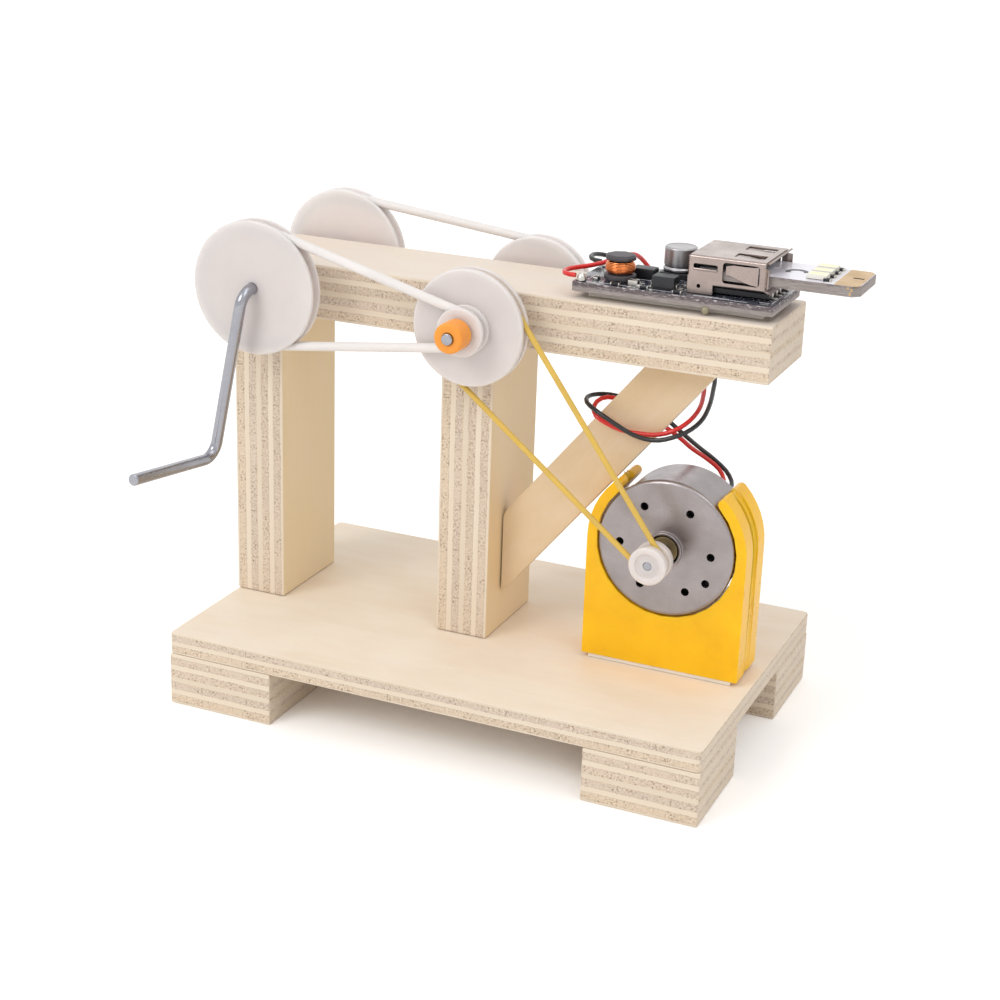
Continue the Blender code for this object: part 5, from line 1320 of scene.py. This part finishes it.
class GENERATOR_OT_stick(Builder, Operator):
    """Model the LED stick with its lamps, resistors and plated end"""
    bl_idname = "generator.stick"
    bl_label = "LED stick"

    def at(self, x, y, z):
        """Millimetres from the stick's tip, its middle and its top."""
        box = Box("led_board")
        return Vector((box.high.x + x / 1000, (box.low.y + box.high.y) / 2 + y / 1000,
                       box.high.z + z / 1000))

    def build(self, scene):
        board = scene.generator_board
        pale = plastic("stick_lacquer", board.stick, 0.32, 0.05, bump=0.000008, Coat_Weight=0.4)
        bm = softened(copied("led_board"), 0.0001, 60, 1)
        coloured([face for face in bm.faces if abs(face.normal.z) < 0.9], 1)
        piece(bm, "led_board_lacquer", [pale, sawn_edge("led_board", 1.9)], "led_board",
              "pale_board", "led_stick")
        gold = metal("gold_plate", board.gold, 0.34, 0.3, bump=0.000006)
        piece(self.plated_end(), "stick_pad_gold", gold, slot="tinned_metal", body="led_stick")
        trace = plastic("grey_trace", srgb(60, 60, 68), 0.4, 0.1)
        piece(self.small_parts(), "stick_small_parts", [chip_body(), tinned(), trace, white_ink()],
              body="led_stick")
        self.lamps(board)

    def plated_end(self):
        """The gold plate over the tip, cut by the slot, and bits of brass on the edges."""
        at = self.at
        tip = at(-1, 0, 0).x
        plate = block(at(-STICK_PAD, -5.75, -0.02), at(-0.25, 5.75, 0.05))
        rounded(plate, [line for line in plate.edges
                        if min(vert.co.x for vert in line.verts) > tip
                        and abs(line.verts[0].co.z - line.verts[1].co.z) > 0.00003], 0.0011, 3)
        bm = bmesh.new()
        join(bm, carved(plate, block(at(-2.6, -0.35, -1), at(-0.8, 0.35, 1))))
        for y in (-6.0, 5.85):
            for x, foot, head in BRASS_BITS:
                block(at(x, y - 0.03, foot), at(x + 0.35, y + 0.18, head), 0.00008, bm=bm)
        return bm

    def small_parts(self):
        """A white stripe, four resistors and a plain arch mark."""
        at, bm = self.at, bmesh.new()
        block(at(-STICK_PAD - 1.5, -5.7, 0), at(-STICK_PAD - 0.25, 5.7, 0.03), bm=bm, index=3)
        for y in RESISTOR_YS:
            block(at(-6.3, y - 0.55, 0.02), at(-5.3, y + 0.55, 0.45), 0.00006, bm=bm)
            for x in (-6.5, -5.3):
                block(at(x, y - 0.6, 0), at(x + 0.2, y + 0.6, 0.42), 0.00005, bm=bm, index=1)
        inner, outer, rise = ARCH - ARCH_HALF, ARCH + ARCH_HALF, 0.00004
        arc = turned([(inner, 0), (outer, 0), (outer, rise), (inner, rise)],
                     at(ARCH_X, -0.5, 0), 40, "Z")
        bmesh.ops.bisect_plane(arc, geom=arc.verts[:] + arc.edges[:] + arc.faces[:],
                               plane_co=at(ARCH_X, -0.9, 0), plane_no=(0.35, -1, 0),
                               clear_outer=True)
        bmesh.ops.holes_fill(arc, edges=arc.edges[:], sides=4)
        coloured(arc.faces, 2)
        join(bm, arc)
        return bm

    def lamps(self, board):
        """Three lamps: a white frame filled with yellow, on two tinned feet."""
        shell = plastic("lamp_frame", srgb(238, 236, 226), 0.4)
        fill = plastic("lamp_fill", board.lamp, 0.25, 0.05, Coat_Weight=0.5)
        base = Box("led_board").high.z
        for node in ("led_lamp_1", "led_lamp_2", "led_lamp_3"):
            box = Box(node)
            bm = block((box.low.x, box.low.y, base + 0.0001), box.high, 0.0001)
            top = [face for face in bm.faces if face.normal.z > 0.99]
            bmesh.ops.inset_region(bm, faces=top, thickness=LAMP_INSET, depth=-0.00006)
            coloured(top, 1)
            for x in (box.low.x - 0.00012, box.high.x - LAMP_INSET):
                block((x, box.low.y + LAMP_INSET, base),
                      (x + 0.00042, box.high.y - LAMP_INSET, base + LAMP_INSET), 0.00004, 1,
                      bm=bm, index=2)
            piece(bm, f"{node}_filled", [shell, fill, tinned()], node, "yellow_lamp", "led_stick")


def smooth_route(route):
    """Points at even steps along a Catmull-Rom curve through the route's points."""
    knots = [Vector((CORNER.x + x / 10000, CORNER.y + y / 10000, z / 10000)) for x, y, z in route]
    knots = [2 * knots[0] - knots[1]] + knots + [2 * knots[-1] - knots[-2]]
    fine = []
    for a, b, c, d in zip(knots, knots[1:], knots[2:], knots[3:]):
        for i in range(20):
            t = i / 20
            fine.append(0.5 * (2 * b + (c - a) * t + (2 * a - 5 * b + 4 * c - d) * t * t
                               + (3 * b - a - 3 * c + d) * t * t * t))
    fine.append(knots[-2])
    lengths = [0.0]
    for a, b in zip(fine, fine[1:]):
        lengths.append(lengths[-1] + (b - a).length)
    count = round(lengths[-1] / WIRE_STEP)
    points, k = [], 0
    for i in range(count + 1):
        want = lengths[-1] * i / count
        while k < len(fine) - 2 and lengths[k + 1] < want:
            k += 1
        share = (want - lengths[k]) / (lengths[k + 1] - lengths[k])
        points.append(fine[k].lerp(fine[k + 1], share))
    return points, lengths[-1]


WIRE_STEP = 0.0012
# Each wire's route from the motor to the board, in tenths of a millimetre from the base's corner
RED_ROUTE = ((880, 399, 445), (880, 410, 445), (876, 427, 449), (863, 434, 463), (843, 422, 482),
             (822, 399, 504), (802, 378, 529), (764, 364, 556), (729, 350, 578), (702, 337, 592),
             (684, 323, 595), (675, 304, 588), (682, 283, 577), (700, 279, 567), (730, 282, 556),
             (763, 283, 554), (796, 283, 557), (825, 285, 568), (843, 304, 581), (849, 337, 593),
             (843, 378, 603), (830, 420, 619), (804, 453, 654), (774, 468, 694), (744, 473, 736),
             (716, 470, 776), (697, 456, 807), (688, 432, 824), (681, 402, 828), (674, 370, 827),
             (660, 342, 824), (643, 322, 821), (628, 304, 820), (619, 287, 819), (620, 271, 818),
             (631, 261, 818), (645, 260, 818))
BLACK_ROUTE = ((894, 399, 438), (894, 410, 438), (891, 430, 442), (875, 445, 456),
               (851, 440, 477), (829, 421, 500), (809, 395, 527), (775, 381, 557),
               (733, 370, 579), (693, 356, 591), (670, 339, 595), (657, 316, 595),
               (664, 292, 592), (687, 272, 587), (712, 266, 577), (737, 266, 565),
               (764, 268, 554), (798, 270, 551), (830, 274, 561), (853, 291, 573),
               (863, 321, 585), (861, 362, 599), (852, 406, 612), (844, 436, 628),
               (826, 453, 670), (768, 456, 722), (706, 457, 766), (665, 455, 795),
               (639, 446, 811), (623, 428, 818), (617, 408, 820), (622, 390, 819),
               (633, 380, 818), (645, 378, 818))


class GENERATOR_OT_wires(Builder, Operator):
    """Model the red and the black wire from the motor to the board"""
    bl_idname = "generator.wires"
    bl_label = "Wires"

    def build(self, scene):
        wires = scene.generator_wires
        for name, route, tint in (("red", RED_ROUTE, wires.red),
                                  ("black", BLACK_ROUTE, wires.black)):
            points, run = smooth_route(route)
            curve = bpy.data.curves.new(f"wire_{name}_sleeve", "CURVE")
            curve.dimensions = "3D"
            curve.bevel_depth = wires.diameter / 2
            curve.bevel_resolution = 5
            curve.use_fill_caps = True
            curve.resolution_u = 1
            spline = curve.splines.new("POLY")
            spline.points.add(len(points) - 1)
            for target, point in zip(spline.points, points):
                target.co = (*point, 1.0)
            spline.use_smooth = True
            curve.materials.append(plastic(f"{name}_sleeve_vinyl", tint, 0.34, 0.06,
                                           bump=0.000008, Coat_Weight=0.2))
            item = bpy.data.objects.new(f"wire_{name}_sleeve", curve)
            bpy.context.scene.collection.objects.link(item)
            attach(item, "stand")
            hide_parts(f"wire_{name}")


CAMERA_AT = (0.1222644, -0.2910419, 0.1557439)
CAMERA_AZIMUTH = radians(23.1805)
CAMERA_ELEVATION = radians(20.0353)
CAMERA_ROLL = radians(1.9628)
LAMP_AIM = Vector((0, 0, 0.04))
FLOOR_RADIUS = 6.0
FLOOR_LIFT = 0.2
FLOOR_REACH = 0.04
FLOOR_OPEN = (0.02, 0.2)
FLOOR_FAR = (0.15, 0.95)
# Painted shade: the floor's darker, warmer colour where the object closes off the sky above it
FLOOR_PAINTED_SHADE = srgb(228, 212, 193)
WHITE = (1.0, 1.0, 1.0, 1.0)


class GENERATOR_OT_stage(Builder, Operator):
    """Set up the floor, the lamps and the camera"""
    bl_idname = "generator.stage"
    bl_label = "Studio stage"

    def build(self, scene):
        stage = scene.generator_stage
        self.floor(stage)
        self.world(scene, stage)
        for name, spot, size, watts in (
                ("key_light", (-0.34, -0.62, 0.62), 0.45, stage.key),
                ("top_light", (0.1, 0.05, 0.9), 0.6, stage.top),
                ("side_light", (0.42, -0.3, 0.8), 0.36, stage.side),
                ("back_light", (-0.25, 0.8, 0.36), 0.4, stage.back)):
            self.lamp(scene, name, Vector(spot), size, watts)
        self.camera(scene, stage)
        scene.view_settings.view_transform = "Standard"

    def floor(self, stage):
        """A white floor that keeps the soft shadow under the object, deepened there by painted
        shade.
        """
        bm = bmesh.new()
        bmesh.ops.create_circle(bm, cap_ends=True, segments=96, radius=FLOOR_RADIUS)
        mesh = bpy.data.meshes.new("studio_floor")
        bm.to_mesh(mesh)
        bm.free()
        material = bpy.data.materials.new("floor_paper")
        material.use_nodes = True
        s = Shading(material.node_tree)
        shader = material.node_tree.nodes["Principled BSDF"].inputs
        shader["Roughness"].default_value = 0.9
        shader["Specular IOR Level"].default_value = 0.1
        shader["Emission Color"].default_value = WHITE
        path = s.add("ShaderNodeLightPath").outputs
        seen = s.math("MAXIMUM", path["Is Camera Ray"], path["Is Glossy Ray"])
        sky = s.add("ShaderNodeAmbientOcclusion", {"Distance": FLOOR_REACH}).outputs["AO"]
        away = s.vector("LENGTH", s.add("ShaderNodeTexCoord").outputs["Object"])
        # Painted shade: under the object the colour turns darker and warmer, and the white glow
        # for camera and glossy rays fades there
        lift = s.plus(s.span(sky, *FLOOR_OPEN, 0.0, FLOOR_LIFT),
                      s.span(away, *FLOOR_FAR, 0.0, FLOOR_LIFT))
        s.feed(shader["Base Color"], s.mix(s.span(sky, *FLOOR_OPEN), FLOOR_PAINTED_SHADE, stage.floor))
        s.feed(shader["Emission Strength"], s.times(seen, lift))
        mesh.materials.append(material)
        item = bpy.data.objects.new("studio_floor", mesh)
        bpy.context.scene.collection.objects.link(item)

    def world(self, scene, stage):
        """Even light all round, seen as plain white."""
        scene.world = world = bpy.data.worlds.new("studio_light")
        world.use_nodes = True
        s = Shading(world.node_tree)
        light = world.node_tree.nodes["Background"].inputs
        path = s.add("ShaderNodeLightPath").outputs
        seen = s.math("MAXIMUM", path["Is Camera Ray"], path["Is Glossy Ray"])
        seen = s.math("MAXIMUM", seen, path["Is Transmission Ray"])
        light["Color"].default_value = WHITE
        s.feed(light["Strength"], s.span(seen, 0.0, 1.0, stage.fill, 1.0))

    def lamp(self, scene, name, spot, size, watts):
        data = bpy.data.lights.new(name, "AREA")
        data.shape = "DISK"
        data.size = size
        data.energy = watts
        item = bpy.data.objects.new(name, data)
        item.location = spot
        item.rotation_euler = (LAMP_AIM - spot).to_track_quat("-Z", "Y").to_euler()
        scene.collection.objects.link(item)

    def camera(self, scene, stage):
        """The photograph's camera."""
        azimuth, elevation, roll = CAMERA_AZIMUTH, CAMERA_ELEVATION, CAMERA_ROLL
        ahead = Vector((-sin(azimuth) * cos(elevation), cos(azimuth) * cos(elevation),
                        -sin(elevation)))
        right = Vector((cos(azimuth), sin(azimuth), 0))
        up = right.cross(ahead)
        side = right * cos(roll) + up * sin(roll)
        top = up * cos(roll) - right * sin(roll)
        data = bpy.data.cameras.new("photo_camera")
        data.lens = stage.lens
        data.sensor_width = 36
        data.clip_start = 0.01
        scene.camera = item = bpy.data.objects.new("photo_camera", data)
        turn = Matrix((side, top, -ahead)).transposed().to_4x4()
        item.matrix_world = Matrix.Translation(CAMERA_AT) @ turn
        scene.collection.objects.link(item)


SETTINGS = {"generator_wood": GeneratorWood, "generator_drive": GeneratorDrive,
            "generator_motor": GeneratorMotor, "generator_board": GeneratorBoard,
            "generator_wires": GeneratorWires, "generator_stage": GeneratorStage}
STEPS = (GENERATOR_OT_stage, GENERATOR_OT_wires, GENERATOR_OT_wood, GENERATOR_OT_rods,
         GENERATOR_OT_pulleys, GENERATOR_OT_belts, GENERATOR_OT_motor, GENERATOR_OT_mount,
         GENERATOR_OT_board, GENERATOR_OT_inductor, GENERATOR_OT_socket, GENERATOR_OT_stick)


class GENERATOR_PT_panel(Panel):
    """Lists the generator's pieces and their sizes and colours."""
    bl_label = "Hand crank generator"
    bl_idname = "GENERATOR_PT_panel"
    bl_space_type = "VIEW_3D"
    bl_region_type = "UI"
    bl_category = "Generator"

    def draw(self, context):
        for step in STEPS:
            self.layout.operator(step.bl_idname)
        for name, kind in SETTINGS.items():
            box = self.layout.box()
            settings = getattr(context.scene, name)
            for label in kind.__annotations__:
                box.prop(settings, label)


def register():
    for name, kind in SETTINGS.items():
        bpy.utils.register_class(kind)
        setattr(bpy.types.Scene, name, PointerProperty(type=kind))
    for kind in (*STEPS, GENERATOR_PT_panel):
        bpy.utils.register_class(kind)


def unregister():
    for kind in (GENERATOR_PT_panel, *reversed(STEPS)):
        bpy.utils.unregister_class(kind)
    for name, kind in SETTINGS.items():
        delattr(bpy.types.Scene, name)
        bpy.utils.unregister_class(kind)


def main():
    register()
    for step in STEPS:
        family, name = step.bl_idname.split(".")
        getattr(getattr(bpy.ops, family), name)()


if __name__ == "__main__":
    main()
